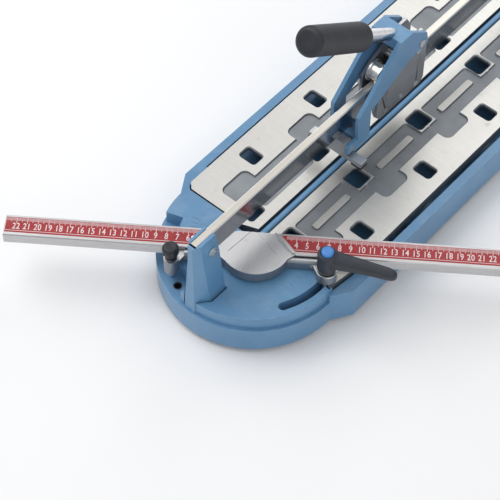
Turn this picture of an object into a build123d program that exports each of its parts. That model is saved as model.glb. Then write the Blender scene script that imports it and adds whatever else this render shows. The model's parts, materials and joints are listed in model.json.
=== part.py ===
from build123d import *
import os
from math import cos, sin, radians

# Tile cutter: a painted cast base with two sprung tables, one guide rail held by a front and a rear
# head, a fence that swivels about the cutting line, and a carriage with a scoring wheel.
# Millimetres. +X is to the right, +Y runs along the rail to the rear, +Z is up.
# Everything is drawn about the fence's swivel axis, and moved to the footprint's centre at the end.

# ---- overall sizes
CUT_LENGTH = 600.0         # longest tile that the wheel crosses
TABLE_HALF = 90.5          # from the cutting line to a table's outer edge
SIDE_GAP = 5.0             # open gap beside each table
FLANGE_WIDTH = 9.0         # top flange of the base's side walls
RIM_RADIUS = 92.0          # round front of the base, about the swivel axis
RULER_LEFT = 231.0         # fence length to the left of its zero
RULER_RIGHT = 250.0        # fence length to the right of its zero
SWIVEL_REST = 36.0         # degrees the fence is turned from square
SWIVEL_MIN = 0.0
SWIVEL_MAX = 45.0

# ---- clearances
FIT = 0.05                 # radial clearance of a fixed pin or screw in its hole
RUN = 0.06                 # radial clearance of a turning or sliding fit
GAP = 0.5                  # air under the fence and round the tables
TABLE_GAP = 1.5            # air between a table and the casting

# ---- heights
FOOT_HEIGHT = 6.0
WALL = 4.0
FLOOR_TOP = 26.0           # floor under the tables
LEDGE_TOP = 34.5           # low ledge that carries the index holes
FLANGE_TOP = 44.0
TABLE_TOP = 50.0
DECK_TOP = TABLE_TOP - GAP
FLOOR_BOTTOM = FLOOR_TOP - WALL
RULER_THICK = 12.0
RULER_BOTTOM = TABLE_TOP + GAP
RULER_TOP = RULER_BOTTOM + RULER_THICK
RAIL_CLEARANCE = 35.0      # air between the fence and the rail
RAIL_HEIGHT = 27.0
RAIL_WIDTH = 8.0
RAIL_BOTTOM = RULER_TOP + RAIL_CLEARANCE
RAIL_TOP = RAIL_BOTTOM + RAIL_HEIGHT

# ---- base
BASE_HALF_WIDTH = TABLE_HALF + SIDE_GAP + FLANGE_WIDTH
DECK_RADIUS = RIM_RADIUS - 3.0
ORBIT = 81.4               # from the swivel axis to the index plunger
BOSS_ANGLE = 26.25         # degrees of the plunger's boss in front of the fence
BOSS_RADIUS = 7.0
CLAMP_ORBIT = 78.9         # from the swivel axis to the clamp
CLAMP_ANGLE = 28.2
CLAMP_BOSS = 9.5
BOSS_U = ORBIT * cos(radians(BOSS_ANGLE))
BOSS_V = -ORBIT * sin(radians(BOSS_ANGLE))
CLAMP_U = CLAMP_ORBIT * cos(radians(CLAMP_ANGLE))
CLAMP_V = -CLAMP_ORBIT * sin(radians(CLAMP_ANGLE))
LEDGE_INNER = ORBIT - BOSS_RADIUS - 3.0
LEDGE_START = -161.0       # degrees, where the ledge begins on the left
LEDGE_END = -98.0
SHOULDER = 20.0            # where the base reaches its full width

# ---- tables
TABLE_INNER = 5.3          # from the cutting line to each table
TABLE_PLATE = 4.5
TABLE_FRONT = 12.5
TABLE_SKIRT = 40.0
RIB_PITCH = 96.0
FIRST_WINDOW = 75.0        # middle of the first window of the outer row
RIB_WIDTH = 5.0
WINDOW_LONG = 19.0
WINDOW_SHORT = 14.0
WINDOW_CORNER = 3.0
RECESS = 2.0               # depth of the tables' recesses
SLOPE = 1.2                # run of every bevelled edge on the tables
HINGE_X = TABLE_HALF - 6.5
HINGE_Z = 38.0
HINGE_PIN = 3.0
HINGE_LUG = 8.0            # half length of a table's hinge lug
LUG_WIDTH = 5.0            # half width of a hinge lug
RIDGE_HALF = 3.1
RIDGE_SEAT = 40.0
SPRING_X = 24.0
SPRING_RADIUS = 5.0
SPRING_WIRE = 0.7

# ---- front and rear heads
HEAD_TOP_HALF = 6.75
HEAD_WAIST_HALF = 8.2
HEAD_FOOT_HALF = 16.5
HEAD_FRONT = 86.0
HEAD_REAR = 60.0
HEAD_FOOT_REAR = 57.0
HEAD_SHOULDER = 22.0       # height of the head's upright top part
SLOT_FRONT = 83.5
RAIL_START = 81.5
CLAMP_BOLT = 2.5
CLAMP_BOLT_DROP = 18.0     # below the top of the rail
REAR_HEAD_LENGTH = 40.0

# ---- fence
RULER_DEPTH = 22.2
RULER_NOSE = 23.0
SCALE_THICK = 0.3
SCALE_FRONT = 19.4
SCALE_REAR = 2.0
DISC_THICK = 10.0
DISC_RADIUS = 33.0
DISC_U = 3.0
DISC_V = -15.5
VEE_START = 21.4           # where the fence's mitred gap begins on the fence line
VEE_LEAN = 0.80            # how far the gap opens for each millimetre towards the front
VEE_HEIGHT = 1.5
PIVOT_RADIUS = 6.8
PIVOT_BUSH = 8.4
PIVOT_BOLT = 4.0
PIVOT_TOP = DECK_TOP - 6.0 # top of the bush, in the pocket behind the fence
PIVOT_DEPTH = 8.0
ARM_TOP = RULER_TOP - 1.2
ARM_BOTTOM = TABLE_TOP + 1.5
ARM_REAR = -RULER_NOSE - 0.4
ARM_FRONT = ARM_REAR - 6.4
ARM_HALF = (ARM_REAR - ARM_FRONT) / 2
INDEX_PIN = 3.0
INDEX_LIFT = 7.0
BOSS_LOW = LEDGE_TOP + 11.0
STUD = 3.0
SLEEVE = 3.9
SLOT_HALF = SLEEVE + 0.4

# ---- clamping lever
HUB_RADIUS = 9.2
HUB_HEIGHT = 25.0
HUB_BOTTOM = RULER_TOP + 1.2
HUB_TOP = HUB_BOTTOM + HUB_HEIGHT
LEVER_LENGTH = 59.0
LEVER_TIP = 5.8
LEVER_ANGLE = -9.0
BUTTON_RADIUS = 5.8
BUTTON_PROUD = 3.6
BUTTON_TRAVEL = 3.0

# ---- carriage
CARRIAGE_Y = 200.0
PLATE_LENGTH = 72.0
PLATE_INNER = 8.0
PLATE_THICK = 4.0
PLATE_BOTTOM = RAIL_BOTTOM - 16.0
ROLLER_RADIUS = 9.0
ROLLER_HALF = 6.5
ROLLER_FLANGE = 2.5
ROLLER_SPACING = 23.0
AXLE = 3.0
HANDLE_Y = 20.0            # handle pivot behind the carriage's middle
HANDLE_Z = RAIL_TOP + 26.0
HANDLE_PIN = 4.0
YOKE_INNER = 13.0
YOKE_THICK = 4.0
WHEEL_Y = -62.0            # scoring wheel in front of the carriage's middle
WHEEL_Z = TABLE_TOP + 23.5  # axle of the scoring wheel
WHEEL_RADIUS = 7.0
WHEEL_THICK = 2.0
WHEEL_AXLE = 2.0
HOLDER_HALF = 5.0
HANDLE_ANGLE = 36.0        # slope of the handle
HANDLE_LENGTH = 150.0
HANDLE_TUBE = 6.5
GRIP_RADIUS = 14.0
GRIP_LENGTH = 96.0
BRIDGE_LOW = WHEEL_Z + WHEEL_RADIUS + 1.5
BRIDGE_HIGH = BRIDGE_LOW + 10.0
BREAKER_Y = WHEEL_Y - 17.0  # breaker foot's hinge
BREAKER_Z = BRIDGE_LOW + 5.0
BREAKER_PIN = 2.5
BREAKER_HALF = 32.0        # half width of the breaker foot
PAD_BOTTOM = TABLE_TOP + 20.0
WHEEL_MIN = 16.0           # nearest that the wheel comes to the fence

FIRST_CENTRE = WHEEL_MIN - WHEEL_Y
LAST_CENTRE = FIRST_CENTRE + CUT_LENGTH
REAR_HEAD_Y = LAST_CENTRE + PLATE_LENGTH / 2 + 5.0
TABLE_REAR = REAR_HEAD_Y - 12.0
BASE_REAR = REAR_HEAD_Y + REAR_HEAD_LENGTH + 6.0
HINGE_PLACES = [TABLE_FRONT + (TABLE_REAR - TABLE_FRONT) * share for share in (0.14, 0.5, 0.86)]
BAYS = int((TABLE_REAR - FIRST_WINDOW) // RIB_PITCH)
SPRING_PLACES = [FIRST_WINDOW + RIB_PITCH * step + 27 for step in (1, BAYS // 2, BAYS - 1)]
INDEX_ANGLES = (0.0, 15.0, 22.5, 30.0, 45.0)
SWIVEL = Rot(0, 0, SWIVEL_REST)


# ---- small helpers
def block(x0, x1, y0, y1, z0, z1):
    """A box from its two corners."""
    return Pos((x0 + x1) / 2, (y0 + y1) / 2, (z0 + z1) / 2) * Box(x1 - x0, y1 - y0, z1 - z0)


def slab(sketch, z0, z1):
    """A flat outline raised from z0 to z1."""
    return extrude(Pos(0, 0, z0) * sketch, amount=z1 - z0, dir=(0, 0, 1))


def post(x, y, z0, z1, radius):
    """An upright cylinder."""
    return Pos(x, y, (z0 + z1) / 2) * Cylinder(radius, z1 - z0)


def bar_x(x0, x1, y, z, radius):
    """A cylinder along X."""
    return Pos((x0 + x1) / 2, y, z) * Rot(0, 90, 0) * Cylinder(radius, x1 - x0)


def bar_y(x, y0, y1, z, radius):
    """A cylinder along Y."""
    return Pos(x, (y0 + y1) / 2, z) * Rot(90, 0, 0) * Cylinder(radius, y1 - y0)


def hexagon(radius, height):
    """A hexagonal prism, flat to flat twice the radius, with softened corners."""
    prism = extrude(RegularPolygon(radius, 6, major_radius=False), amount=height / 2, both=True)
    return prism & Cylinder(radius * 1.1, height)


def polar(radius, angle):
    """A point at an angle in degrees from +X."""
    return (radius * cos(radians(angle)), radius * sin(radians(angle)))


def polygon(*points):
    """A flat outline through the points given."""
    return make_face(Polyline(*points, close=True).edges())


def wedge(start, end, reach=400.0):
    """The flat sector between two angles."""
    middle = (start + end) / 2
    return polygon((0, 0), polar(reach, start), polar(reach, middle), polar(reach, end))


def arc_slot(mean, half, start, end):
    """A flat slot that follows a circle about the swivel axis, with round ends."""
    ring = (Circle(mean + half) - Circle(mean - half)) & wedge(start, end)
    for angle in (start, end):
        ring += Pos(*polar(mean, angle)) * Circle(half)
    return ring


# ---- base
def base_outline(inset=0.0):
    """Plan of the base: round front and straight sides."""
    half = BASE_HALF_WIDTH - inset
    front = RIM_RADIUS - inset
    rear = BASE_REAR - inset
    sides = polygon((-front, 0), (-half, SHOULDER), (-half, rear),
                    (half, rear), (half, SHOULDER), (front, 0))
    return Circle(front) + sides


def table_outline(side):
    """Plan of one table; side is -1 on the left and 1 on the right."""
    if side > 0:
        front = [(TABLE_INNER, TABLE_FRONT), (20, 7), (36, 7), (58, 16),
                 (TABLE_HALF - 3.5, 4), (TABLE_HALF, 32)]
    else:
        front = [(-TABLE_INNER, TABLE_FRONT), (-20, 7), (-TABLE_HALF + 6, 7), (-TABLE_HALF, 13)]
    rear = [(side * TABLE_HALF, TABLE_REAR), (side * TABLE_INNER, TABLE_REAR)]
    return polygon(*front, *rear)


def head_foot(grow=0.0):
    """Plan of the front head where it stands on the base."""
    half = HEAD_FOOT_HALF + grow
    rear = -HEAD_FOOT_REAR + grow
    return polygon((-half, rear), (half, rear), (half, -77), (6, -90 - grow), (-6, -90 - grow), (-half, -77))


def clamp_slot(half):
    """Arc slot that the clamp's sleeve sweeps."""
    spare = 1.5
    return arc_slot(CLAMP_ORBIT, half, SWIVEL_MIN - CLAMP_ANGLE - spare, SWIVEL_MAX - CLAMP_ANGLE + spare)


def hinge_lugs(side):
    """Pairs of lugs that hold one table's hinge pins."""
    lugs = []
    for y in HINGE_PLACES:
        for end in (-1, 1):
            middle = y + end * (HINGE_LUG + 0.5 + 3)
            lugs.append(block(side * HINGE_X - LUG_WIDTH, side * HINGE_X + LUG_WIDTH,
                              middle - 3, middle + 3, FLOOR_TOP - 1, HINGE_Z + LUG_WIDTH))
    return lugs


def base_casting():
    """The painted casting: round front, index ledge, table well and rear deck, open underneath."""
    body = slab(base_outline(), FOOT_HEIGHT, LEDGE_TOP)
    body += slab(Circle(DECK_RADIUS) & Pos(0, -100) * Rectangle(400, 240), LEDGE_TOP, DECK_TOP)
    body += slab(base_outline() & Pos(0, 500) * Rectangle(400, 1000), LEDGE_TOP, FLANGE_TOP)
    ledge = (Circle(RIM_RADIUS + 5) - Circle(LEDGE_INNER)) & wedge(LEDGE_START, LEDGE_END)
    body -= slab(ledge, LEDGE_TOP, DECK_TOP + 1)
    body -= slab(head_foot(GAP), LEDGE_TOP, DECK_TOP + 1)
    for side in (-1, 1):
        body -= slab(offset(table_outline(side), TABLE_GAP), FLOOR_TOP, DECK_TOP + 1)
        well = sorted((side * TABLE_HALF, side * (TABLE_HALF + SIDE_GAP)))
        body -= block(well[0], well[1], 40, TABLE_REAR + TABLE_GAP, FLOOR_TOP, DECK_TOP + 1)
    body -= block(-20, 20, TABLE_FRONT - 1, TABLE_REAR + TABLE_GAP, RIDGE_SEAT, DECK_TOP + 1)
    body -= slab(base_outline(WALL), FOOT_HEIGHT - 1, FLOOR_BOTTOM)
    front_hollow = (Circle(LEDGE_INNER - WALL) & Pos(0, -103) * Rectangle(400, 200)) - Circle(PIVOT_BUSH + 7)
    front_hollow -= Pos(0, -90) * Rectangle(2 * HEAD_FOOT_HALF + 2 * WALL, 80)
    body -= slab(front_hollow, FLOOR_BOTTOM - 1, DECK_TOP - WALL)
    for side in (-1, 1):
        for lug in hinge_lugs(side):
            body += lug
        for y in HINGE_PLACES:
            body -= bar_y(side * HINGE_X, y - HINGE_LUG - 8, y + HINGE_LUG + 8, HINGE_Z, HINGE_PIN + FIT)
    body -= slab(clamp_slot(SLOT_HALF), FLOOR_BOTTOM - 1, DECK_TOP + 1)
    pocket = Pos(0, 7.5) * Rectangle(46, 13)
    body -= slab(pocket + Circle(PIVOT_BUSH + 5), PIVOT_TOP, DECK_TOP + 1)
    body -= slab(pocket - Circle(PIVOT_BUSH + 2), FLOOR_TOP, DECK_TOP + 1)
    body -= post(0, 0, PIVOT_TOP - PIVOT_DEPTH, DECK_TOP + 1, PIVOT_BUSH + FIT)
    body -= post(0, 0, FLOOR_BOTTOM - 1, DECK_TOP, PIVOT_BOLT + RUN)
    for angle in INDEX_ANGLES:
        x, y = polar(ORBIT, angle + BOSS_ANGLE - 180)
        body -= post(x, y, LEDGE_TOP - 9, LEDGE_TOP + 1, INDEX_PIN + 1.4 + FIT)
    for y in RIDGE_PIN_PLACES:
        body -= post(0, y, RIDGE_SEAT - 6, RIDGE_SEAT + 1, 1.5 + FIT)
    for x, y in foot_places():
        body += post(x, y, FOOT_HEIGHT, FLOOR_BOTTOM + 1, 7)
        body -= post(x, y, FOOT_HEIGHT - 1, FOOT_HEIGHT + 11, 2 + FIT)
    for y in (-64, -82):
        body -= post(0, y, FLOOR_BOTTOM - 1, LEDGE_TOP + 1, 2.5 + FIT)
    for y in rear_screw_places():
        body -= post(0, y, FLOOR_BOTTOM - 1, FLANGE_TOP + 1, 2.5 + FIT)
    return body


def foot_places():
    """Centres of the rubber feet."""
    front = polar(RIM_RADIUS - 16, -38)
    side = BASE_HALF_WIDTH - 15
    middle = BASE_REAR / 2
    return [(front[0], front[1]), (-front[0], front[1]), (side, middle), (-side, middle),
            (side, BASE_REAR - 15), (-side, BASE_REAR - 15)]


def rear_screw_places():
    """Distances along the base of the screws that hold the rear head."""
    return (REAR_HEAD_Y + 9, REAR_HEAD_Y + REAR_HEAD_LENGTH - 9)


RIDGE_PIN_PLACES = [TABLE_FRONT + 20 + (TABLE_REAR - TABLE_FRONT - 40) * step / 4 for step in range(5)]


def breaking_ridge():
    """Rounded strip on the cutting line that the tile breaks over."""
    strip = block(-RIDGE_HALF, RIDGE_HALF, TABLE_FRONT - 0.5, TABLE_REAR, RIDGE_SEAT, DECK_TOP)
    strip = fillet(strip.edges().filter_by(Axis.Y).group_by(Axis.Z)[-1], RIDGE_HALF - 0.6)
    for y in RIDGE_PIN_PLACES:
        strip -= post(0, y, RIDGE_SEAT - 1, RIDGE_SEAT + 5, 1.5 + FIT)
    return strip


def ridge_pins():
    """Dowels between the ridge and the casting."""
    return [post(0, y, RIDGE_SEAT - 5.8, RIDGE_SEAT + 4.8, 1.5) for y in RIDGE_PIN_PLACES]


def rubber_feet():
    """Round feet under the base."""
    feet = []
    for x, y in foot_places():
        foot = Pos(x, y, FOOT_HEIGHT / 2) * Cone(8, 9.5, FOOT_HEIGHT)
        foot -= post(x, y, -1, 3, 4.5)
        foot -= post(x, y, -1, FOOT_HEIGHT + 1, 2 + FIT)
        feet.append(foot)
    return feet


def foot_screws():
    """Screws that hold the feet."""
    return [post(x, y, 1, 3, 4) + post(x, y, 2.5, FOOT_HEIGHT + 10, 2) for x, y in foot_places()]


def index_bushes():
    """Hard bushes in the ledge for the index pin."""
    bushes = []
    for angle in INDEX_ANGLES:
        x, y = polar(ORBIT, angle + BOSS_ANGLE - 180)
        bush = post(x, y, LEDGE_TOP - 9, LEDGE_TOP, INDEX_PIN + 1.4)
        bushes.append(bush - post(x, y, 0, 60, INDEX_PIN + 0.2))
    return bushes


def pivot_bush():
    """Bronze bush that the fence's boss turns in."""
    low = PIVOT_TOP - PIVOT_DEPTH
    return post(0, 0, low, PIVOT_TOP, PIVOT_BUSH) - post(0, 0, low - 1, DECK_TOP + 1, PIVOT_RADIUS + RUN)


# ---- tables
def sprung_table(side):
    """One aluminium table: plate with windows and troughs, skirts, ribs and hinge lugs."""
    outline = table_outline(side)
    plate_low = TABLE_TOP - TABLE_PLATE
    table = slab(outline, plate_low, TABLE_TOP)
    skirt = outline - offset(outline, -3.5)
    table += slab(skirt, TABLE_SKIRT, plate_low + 0.5)
    for step in range(BAYS + 1):
        y = FIRST_WINDOW + step * RIB_PITCH
        last = min(y + 33.5, TABLE_REAR - 8)
        if last > y - 20:
            table -= bevelled(side, (18.4, 42), (y - 37.5, last), SLOPE)
            table += bevelled(side, (28.3, 37.5), (y - 28, last - 9), -SLOPE)
        table -= bevelled(side, (38.5, 48.6), (y - 51, min(y + 46, TABLE_REAR - 8)), SLOPE)
        table -= bevelled(side, (38.5, 62), (y - 51, y - 17.5), SLOPE, 6)
        table -= window(side * 25, y - 50.5, WINDOW_LONG, WINDOW_LONG)
        if y + WINDOW_SHORT < TABLE_REAR:
            table -= window(side * 68.5, y, WINDOW_LONG, WINDOW_SHORT)
        rib = [side * (TABLE_INNER + 2), side * (TABLE_HALF - 2)]
        if y + 20 < TABLE_REAR:
            table += block(min(rib), max(rib), y + 14, y + 14 + RIB_WIDTH, TABLE_SKIRT, plate_low + 0.5)
    for y in HINGE_PLACES:
        lug = block(side * HINGE_X - LUG_WIDTH, side * HINGE_X + LUG_WIDTH,
                    y - HINGE_LUG, y + HINGE_LUG, HINGE_Z - LUG_WIDTH, plate_low + 0.5)
        table += lug
        table -= block(side * HINGE_X - LUG_WIDTH - GAP, side * HINGE_X + LUG_WIDTH + GAP,
                       y - HINGE_LUG - 8, y - HINGE_LUG, TABLE_SKIRT - 1, plate_low)
        table -= block(side * HINGE_X - LUG_WIDTH - GAP, side * HINGE_X + LUG_WIDTH + GAP,
                       y + HINGE_LUG, y + HINGE_LUG + 8, TABLE_SKIRT - 1, plate_low)
        table -= bar_y(side * HINGE_X, y - HINGE_LUG - 1, y + HINGE_LUG + 1, HINGE_Z, HINGE_PIN + RUN)
    if side > 0:
        table -= slab(clamp_slot(SLOT_HALF + 0.8), TABLE_SKIRT - 1, TABLE_TOP + 1)
    return table


def window(x, y, width, length):
    """A rounded window through a table's plate, with a bevelled rim."""
    hole = slab(Pos(x, y) * RectangleRounded(width, length, WINDOW_CORNER), TABLE_SKIRT - 1, TABLE_TOP + 1)
    bevel = 1.2
    rim = Pos(x, y, TABLE_TOP - bevel) * RectangleRounded(width, length, WINDOW_CORNER)
    wide = RectangleRounded(width + 2 * bevel, length + 2 * bevel, WINDOW_CORNER + bevel)
    wide = Pos(x, y, TABLE_TOP + 0.01) * wide
    return hole + loft([rim, wide])


def bevelled(side, across, along, slope, corner=3.0):
    """A rounded rectangle between the recesses' floor and the top; slope widens it upwards."""
    width, length = across[1] - across[0], along[1] - along[0]
    place = (side * (across[0] + across[1]) / 2, (along[0] + along[1]) / 2)
    low = Pos(*place, TABLE_TOP - RECESS) * RectangleRounded(width, length, corner)
    spread = 2 * slope
    high = RectangleRounded(width + spread, length + spread, max(corner + slope, 1.5))
    return loft([low, Pos(*place, TABLE_TOP) * high])


def table_pins(side):
    """Hinge pins of one table."""
    reach = HINGE_LUG + 6.2
    return [bar_y(side * HINGE_X, y - reach, y + reach, HINGE_Z, HINGE_PIN) for y in HINGE_PLACES]


def table_springs(side):
    """Coil springs under the inner edge of one table."""
    low = FLOOR_TOP + SPRING_WIRE
    high = TABLE_TOP - TABLE_PLATE - SPRING_WIRE - 0.05
    springs = []
    for y in SPRING_PLACES:
        path = Helix(pitch=(high - low) / 5, height=high - low, radius=SPRING_RADIUS)
        start = Plane(path @ 0, z_dir=path % 0)
        springs.append(Pos(side * SPRING_X, y, low) * sweep(start * Circle(SPRING_WIRE), path=path))
    return springs


# ---- heads and rail
def guide_rail():
    """Flat steel rail on edge, with bevelled top edges."""
    end = REAR_HEAD_Y + REAR_HEAD_LENGTH - 4
    rail = block(-RAIL_WIDTH / 2, RAIL_WIDTH / 2, -RAIL_START, end, RAIL_BOTTOM, RAIL_TOP)
    rail = chamfer(rail.edges().filter_by(Axis.Y), 1.0)
    for y in clamp_bolt_places():
        rail -= bar_x(-20, 20, y, RAIL_TOP - CLAMP_BOLT_DROP, CLAMP_BOLT + FIT)
    return rail


def clamp_bolt_places():
    """Distances along the rail of the bolts that clamp it."""
    return (-66, REAR_HEAD_Y + 10, REAR_HEAD_Y + REAR_HEAD_LENGTH - 12)


def head_plan(half, front, rear, nose):
    """Plan of a head: straight flanks that narrow to a blunt nose."""
    return polygon((-half, -rear), (half, -rear), (half, -front + nose), (half * 0.36, -front),
                   (-half * 0.36, -front), (-half, -front + nose))


def front_head():
    """Narrow painted post that holds the front of the rail in a slot."""
    waist = RAIL_TOP - HEAD_SHOULDER
    narrow = Pos(0, 0, RAIL_TOP) * head_plan(HEAD_TOP_HALF, HEAD_FRONT, HEAD_REAR, 7)
    middle = Pos(0, 0, waist) * head_plan(HEAD_WAIST_HALF, HEAD_FRONT + 0.5, HEAD_FOOT_REAR, 8)
    foot = Pos(0, 0, LEDGE_TOP) * head_plan(HEAD_FOOT_HALF, 90, HEAD_FOOT_REAR, 13)
    head = loft([foot, middle]) + loft([middle, narrow])
    bolt_z = RAIL_TOP - CLAMP_BOLT_DROP
    head += bar_x(-HEAD_WAIST_HALF - 0.4, HEAD_WAIST_HALF + 0.4, -66, bolt_z, 5.2)
    slot = RAIL_WIDTH / 2 + FIT
    head -= block(-slot, slot, -SLOT_FRONT, 0, RAIL_BOTTOM, RAIL_TOP + 1)
    head -= bar_x(-20, 20, -66, bolt_z, CLAMP_BOLT + FIT)
    for y in (-64, -82):
        head -= post(0, y, LEDGE_TOP - 1, LEDGE_TOP + 20, 2.5 + FIT)
    return head


def rear_head():
    """Painted post that holds the rear of the rail."""
    waist = RAIL_TOP - 40
    y0, y1 = REAR_HEAD_Y, REAR_HEAD_Y + REAR_HEAD_LENGTH
    foot = Pos(0, (y0 + y1) / 2, FLANGE_TOP) * Rectangle(52, y1 - y0)
    narrow = Pos(0, (y0 + y1) / 2, waist) * Rectangle(18, y1 - y0 - 4)
    head = loft([foot, narrow]) + block(-9, 9, y0 + 2, y1 - 2, waist, RAIL_TOP)
    slot = RAIL_WIDTH / 2 + FIT
    head -= block(-slot, slot, y0 - 1, y1 - 4 + FIT, RAIL_BOTTOM, RAIL_TOP + 1)
    for y in clamp_bolt_places()[1:]:
        head -= bar_x(-20, 20, y, RAIL_TOP - CLAMP_BOLT_DROP, CLAMP_BOLT + FIT)
    for y in rear_screw_places():
        head -= post(0, y, FLANGE_TOP - 1, FLANGE_TOP + 20, 2.5 + FIT)
    return head


def clamp_sides():
    """Each rail clamp bolt's place and the half width of the head that it crosses."""
    places = clamp_bolt_places()
    return [(places[0], HEAD_WAIST_HALF + 0.4), (places[1], 9.0), (places[2], 9.0)]


def rail_clamp_bolts():
    """Hexagon screws through the heads and the rail."""
    bolts = []
    for y, half in clamp_sides():
        bolt = bar_x(-half - 7, half + 1, y, RAIL_TOP - CLAMP_BOLT_DROP, CLAMP_BOLT)
        bolt += bar_x(half, half + 0.8, y, RAIL_TOP - CLAMP_BOLT_DROP, 4.6)
        bolt += Pos(half + 2.2, y, RAIL_TOP - CLAMP_BOLT_DROP) * Rot(0, 90, 0) * hexagon(3.6, 3)
        bolts.append(bolt)
    return bolts


def rail_clamp_nuts():
    """Nuts on the left of the heads."""
    nuts = []
    for y, half in clamp_sides():
        nut = Pos(-half - 2.1, y, RAIL_TOP - CLAMP_BOLT_DROP) * Rot(0, 90, 0) * hexagon(4.6, 4.2)
        nuts.append(nut - bar_x(-half - 8, -half + 1, y, RAIL_TOP - CLAMP_BOLT_DROP, CLAMP_BOLT + FIT))
    return nuts


def head_screw(y, floor, top):
    """A screw driven up through the base into a head."""
    return post(0, y, floor - 3.5, floor, 4.5) + post(0, y, floor - 1, top, 2.5)


def front_head_screws():
    """Screws under the front head."""
    return [head_screw(y, FLOOR_BOTTOM, LEDGE_TOP + 18) for y in (-64, -82)]


def rear_head_screws():
    """Screws under the rear head."""
    return [head_screw(y, FLOOR_BOTTOM, FLANGE_TOP + 18) for y in rear_screw_places()]


# ---- swivelling fence; u runs along the fence and v behind it, before it is turned
def disc_outline():
    """Plan of the fence's middle: a round plate cut off at the fence line, with mitred ends."""
    plate = Pos(DISC_U, DISC_V) * Circle(DISC_RADIUS)
    corner = VEE_START + VEE_LEAN * RULER_NOSE
    cheeks = polygon((-VEE_START, 0), (VEE_START, 0), (corner, -RULER_NOSE), (15, -46), (DISC_U, -30),
                     (-20, -38), (-34, -27), (-corner + 3, -RULER_NOSE + 4))
    spread = VEE_START + 100 * VEE_LEAN
    mitred = polygon((-VEE_START, 0), (VEE_START, 0), (spread, -100), (-spread, -100))
    return (plate + cheeks) & mitred


def vee_bar(side, reach, width, start):
    """A straight bar along the mitre, seen from above, that reaches so far in front of the fence line."""
    run = reach * VEE_LEAN
    return polygon((side * start, 0), (side * (start + width), 0),
                   (side * (start + width + run), -reach), (side * (start + run), -reach))


def swivel_casting():
    """Cast arm of the fence: plate, pivot boss, two arms and their end bosses."""
    outline = disc_outline()
    low = RULER_TOP - DISC_THICK
    inside = Pos(0, -100 - 0.01) * Rectangle(300, 200)
    body = slab(outline, low, RULER_TOP)
    front_rim = (outline - offset(outline, -2.6)) & Pos(0, -80) * Rectangle(300, 110)
    body += slab(front_rim, RULER_TOP - 0.5, RULER_TOP + 0.9)
    for side in (-1, 1):
        ridge = vee_bar(side, RULER_NOSE - 1, 1.8, VEE_START - 1.9)
        body += slab(ridge, RULER_TOP - 0.5, RULER_TOP + VEE_HEIGHT)
        body -= slab(vee_bar(side, 24.0, 0.8, 2.5), RULER_TOP - 0.6, RULER_TOP + 2)
        body -= slab(vee_bar(side, RULER_NOSE - 3, 3.0, VEE_START - 6.2), RULER_TOP - 0.9, RULER_TOP + 2)
        u, v, radius = (CLAMP_U, CLAMP_V, CLAMP_BOSS) if side > 0 else (BOSS_U, BOSS_V, BOSS_RADIUS)
        arm = polygon((side * 28, ARM_REAR), (side * (u - 2), ARM_REAR), (side * (u + radius), v + 4),
                      (side * (u + radius), v), (side * (u - radius), v), (side * (u - radius - 4), ARM_FRONT),
                      (side * 28, ARM_FRONT))
        arm += Pos(side * u, v) * Circle(radius)
        body += slab(arm, ARM_BOTTOM, ARM_TOP - ARM_HALF)
        body += bar_x(side * 45 - 17, side * 45 + 17, (ARM_FRONT + ARM_REAR) / 2, ARM_TOP - ARM_HALF, ARM_HALF)
    body += post(-BOSS_U, BOSS_V, BOSS_LOW, RULER_TOP, BOSS_RADIUS)
    body += post(CLAMP_U, CLAMP_V, ARM_BOTTOM, RULER_TOP - 1, CLAMP_BOSS)
    body += slab(Circle(PIVOT_RADIUS) & inside, PIVOT_TOP - 1, low + 1)
    body += post(0, 0, PIVOT_TOP - PIVOT_DEPTH + 0.5, PIVOT_TOP - 0.1, PIVOT_RADIUS)
    body -= post(0, 0, PIVOT_TOP - PIVOT_DEPTH, PIVOT_TOP - 2, PIVOT_BOLT + FIT)
    body -= post(-BOSS_U, BOSS_V, BOSS_LOW - 1, RULER_TOP + 1, INDEX_PIN + 2 + FIT)
    body -= post(CLAMP_U, CLAMP_V, ARM_BOTTOM - 1, RULER_TOP + 1, STUD + RUN)
    for u in ruler_screw_places():
        body -= bar_v(u, ARM_FRONT - 5, ARM_REAR + 1, 1.5 + FIT)
    return SWIVEL * body


def bar_v(u, v0, v1, radius):
    """A cylinder across the fence at mid height of the arms."""
    return bar_y(u, v0, v1, RULER_BOTTOM + 5.5, radius)


def ruler_screw_places():
    """Places along the fence of the screws that hold the rulers."""
    return (-57, 55)


def ruler_profile():
    """Section of a ruler bar: flat, with its front edges broken."""
    low, high = RULER_BOTTOM, RULER_TOP
    step = RULER_NOSE - RULER_DEPTH
    return polygon((0, 0, low), (0, 0, high), (0, -RULER_DEPTH, high), (0, -RULER_NOSE, high - step),
                   (0, -RULER_NOSE, low + step), (0, -RULER_DEPTH, low))


def ruler(side, length):
    """One bar of the fence, mitred where it meets the middle plate."""
    bar = extrude(ruler_profile(), amount=length, dir=(side, 0, 0))
    start, reach = VEE_START + GAP, RULER_NOSE + 1
    mitre = polygon((-side, 1), (side * (start - VEE_LEAN), 1),
                    (side * (start + VEE_LEAN * reach), -reach), (-side, -reach))
    bar -= slab(mitre, RULER_BOTTOM - 1, RULER_TOP + 1)
    bar -= slab(scale_outline(side, length, FIT), RULER_TOP - SCALE_THICK, RULER_TOP + 1)
    for u in ruler_screw_places():
        if u * side > 0:
            bar -= bar_v(u, -RULER_NOSE - 1, -RULER_NOSE + 7, 1.5 + FIT)
    return SWIVEL * bar


def scale_outline(side, length, grow=0.0):
    """Plan of the scale let into one ruler's top."""
    inner = VEE_START + GAP + 2.5
    outer = length - 1 + grow
    rear, front = SCALE_REAR - grow, SCALE_FRONT + grow
    return polygon((side * (inner + VEE_LEAN * rear), -rear), (side * outer, -rear),
                   (side * outer, -front), (side * (inner + VEE_LEAN * front - 2 * grow), -front))


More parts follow.
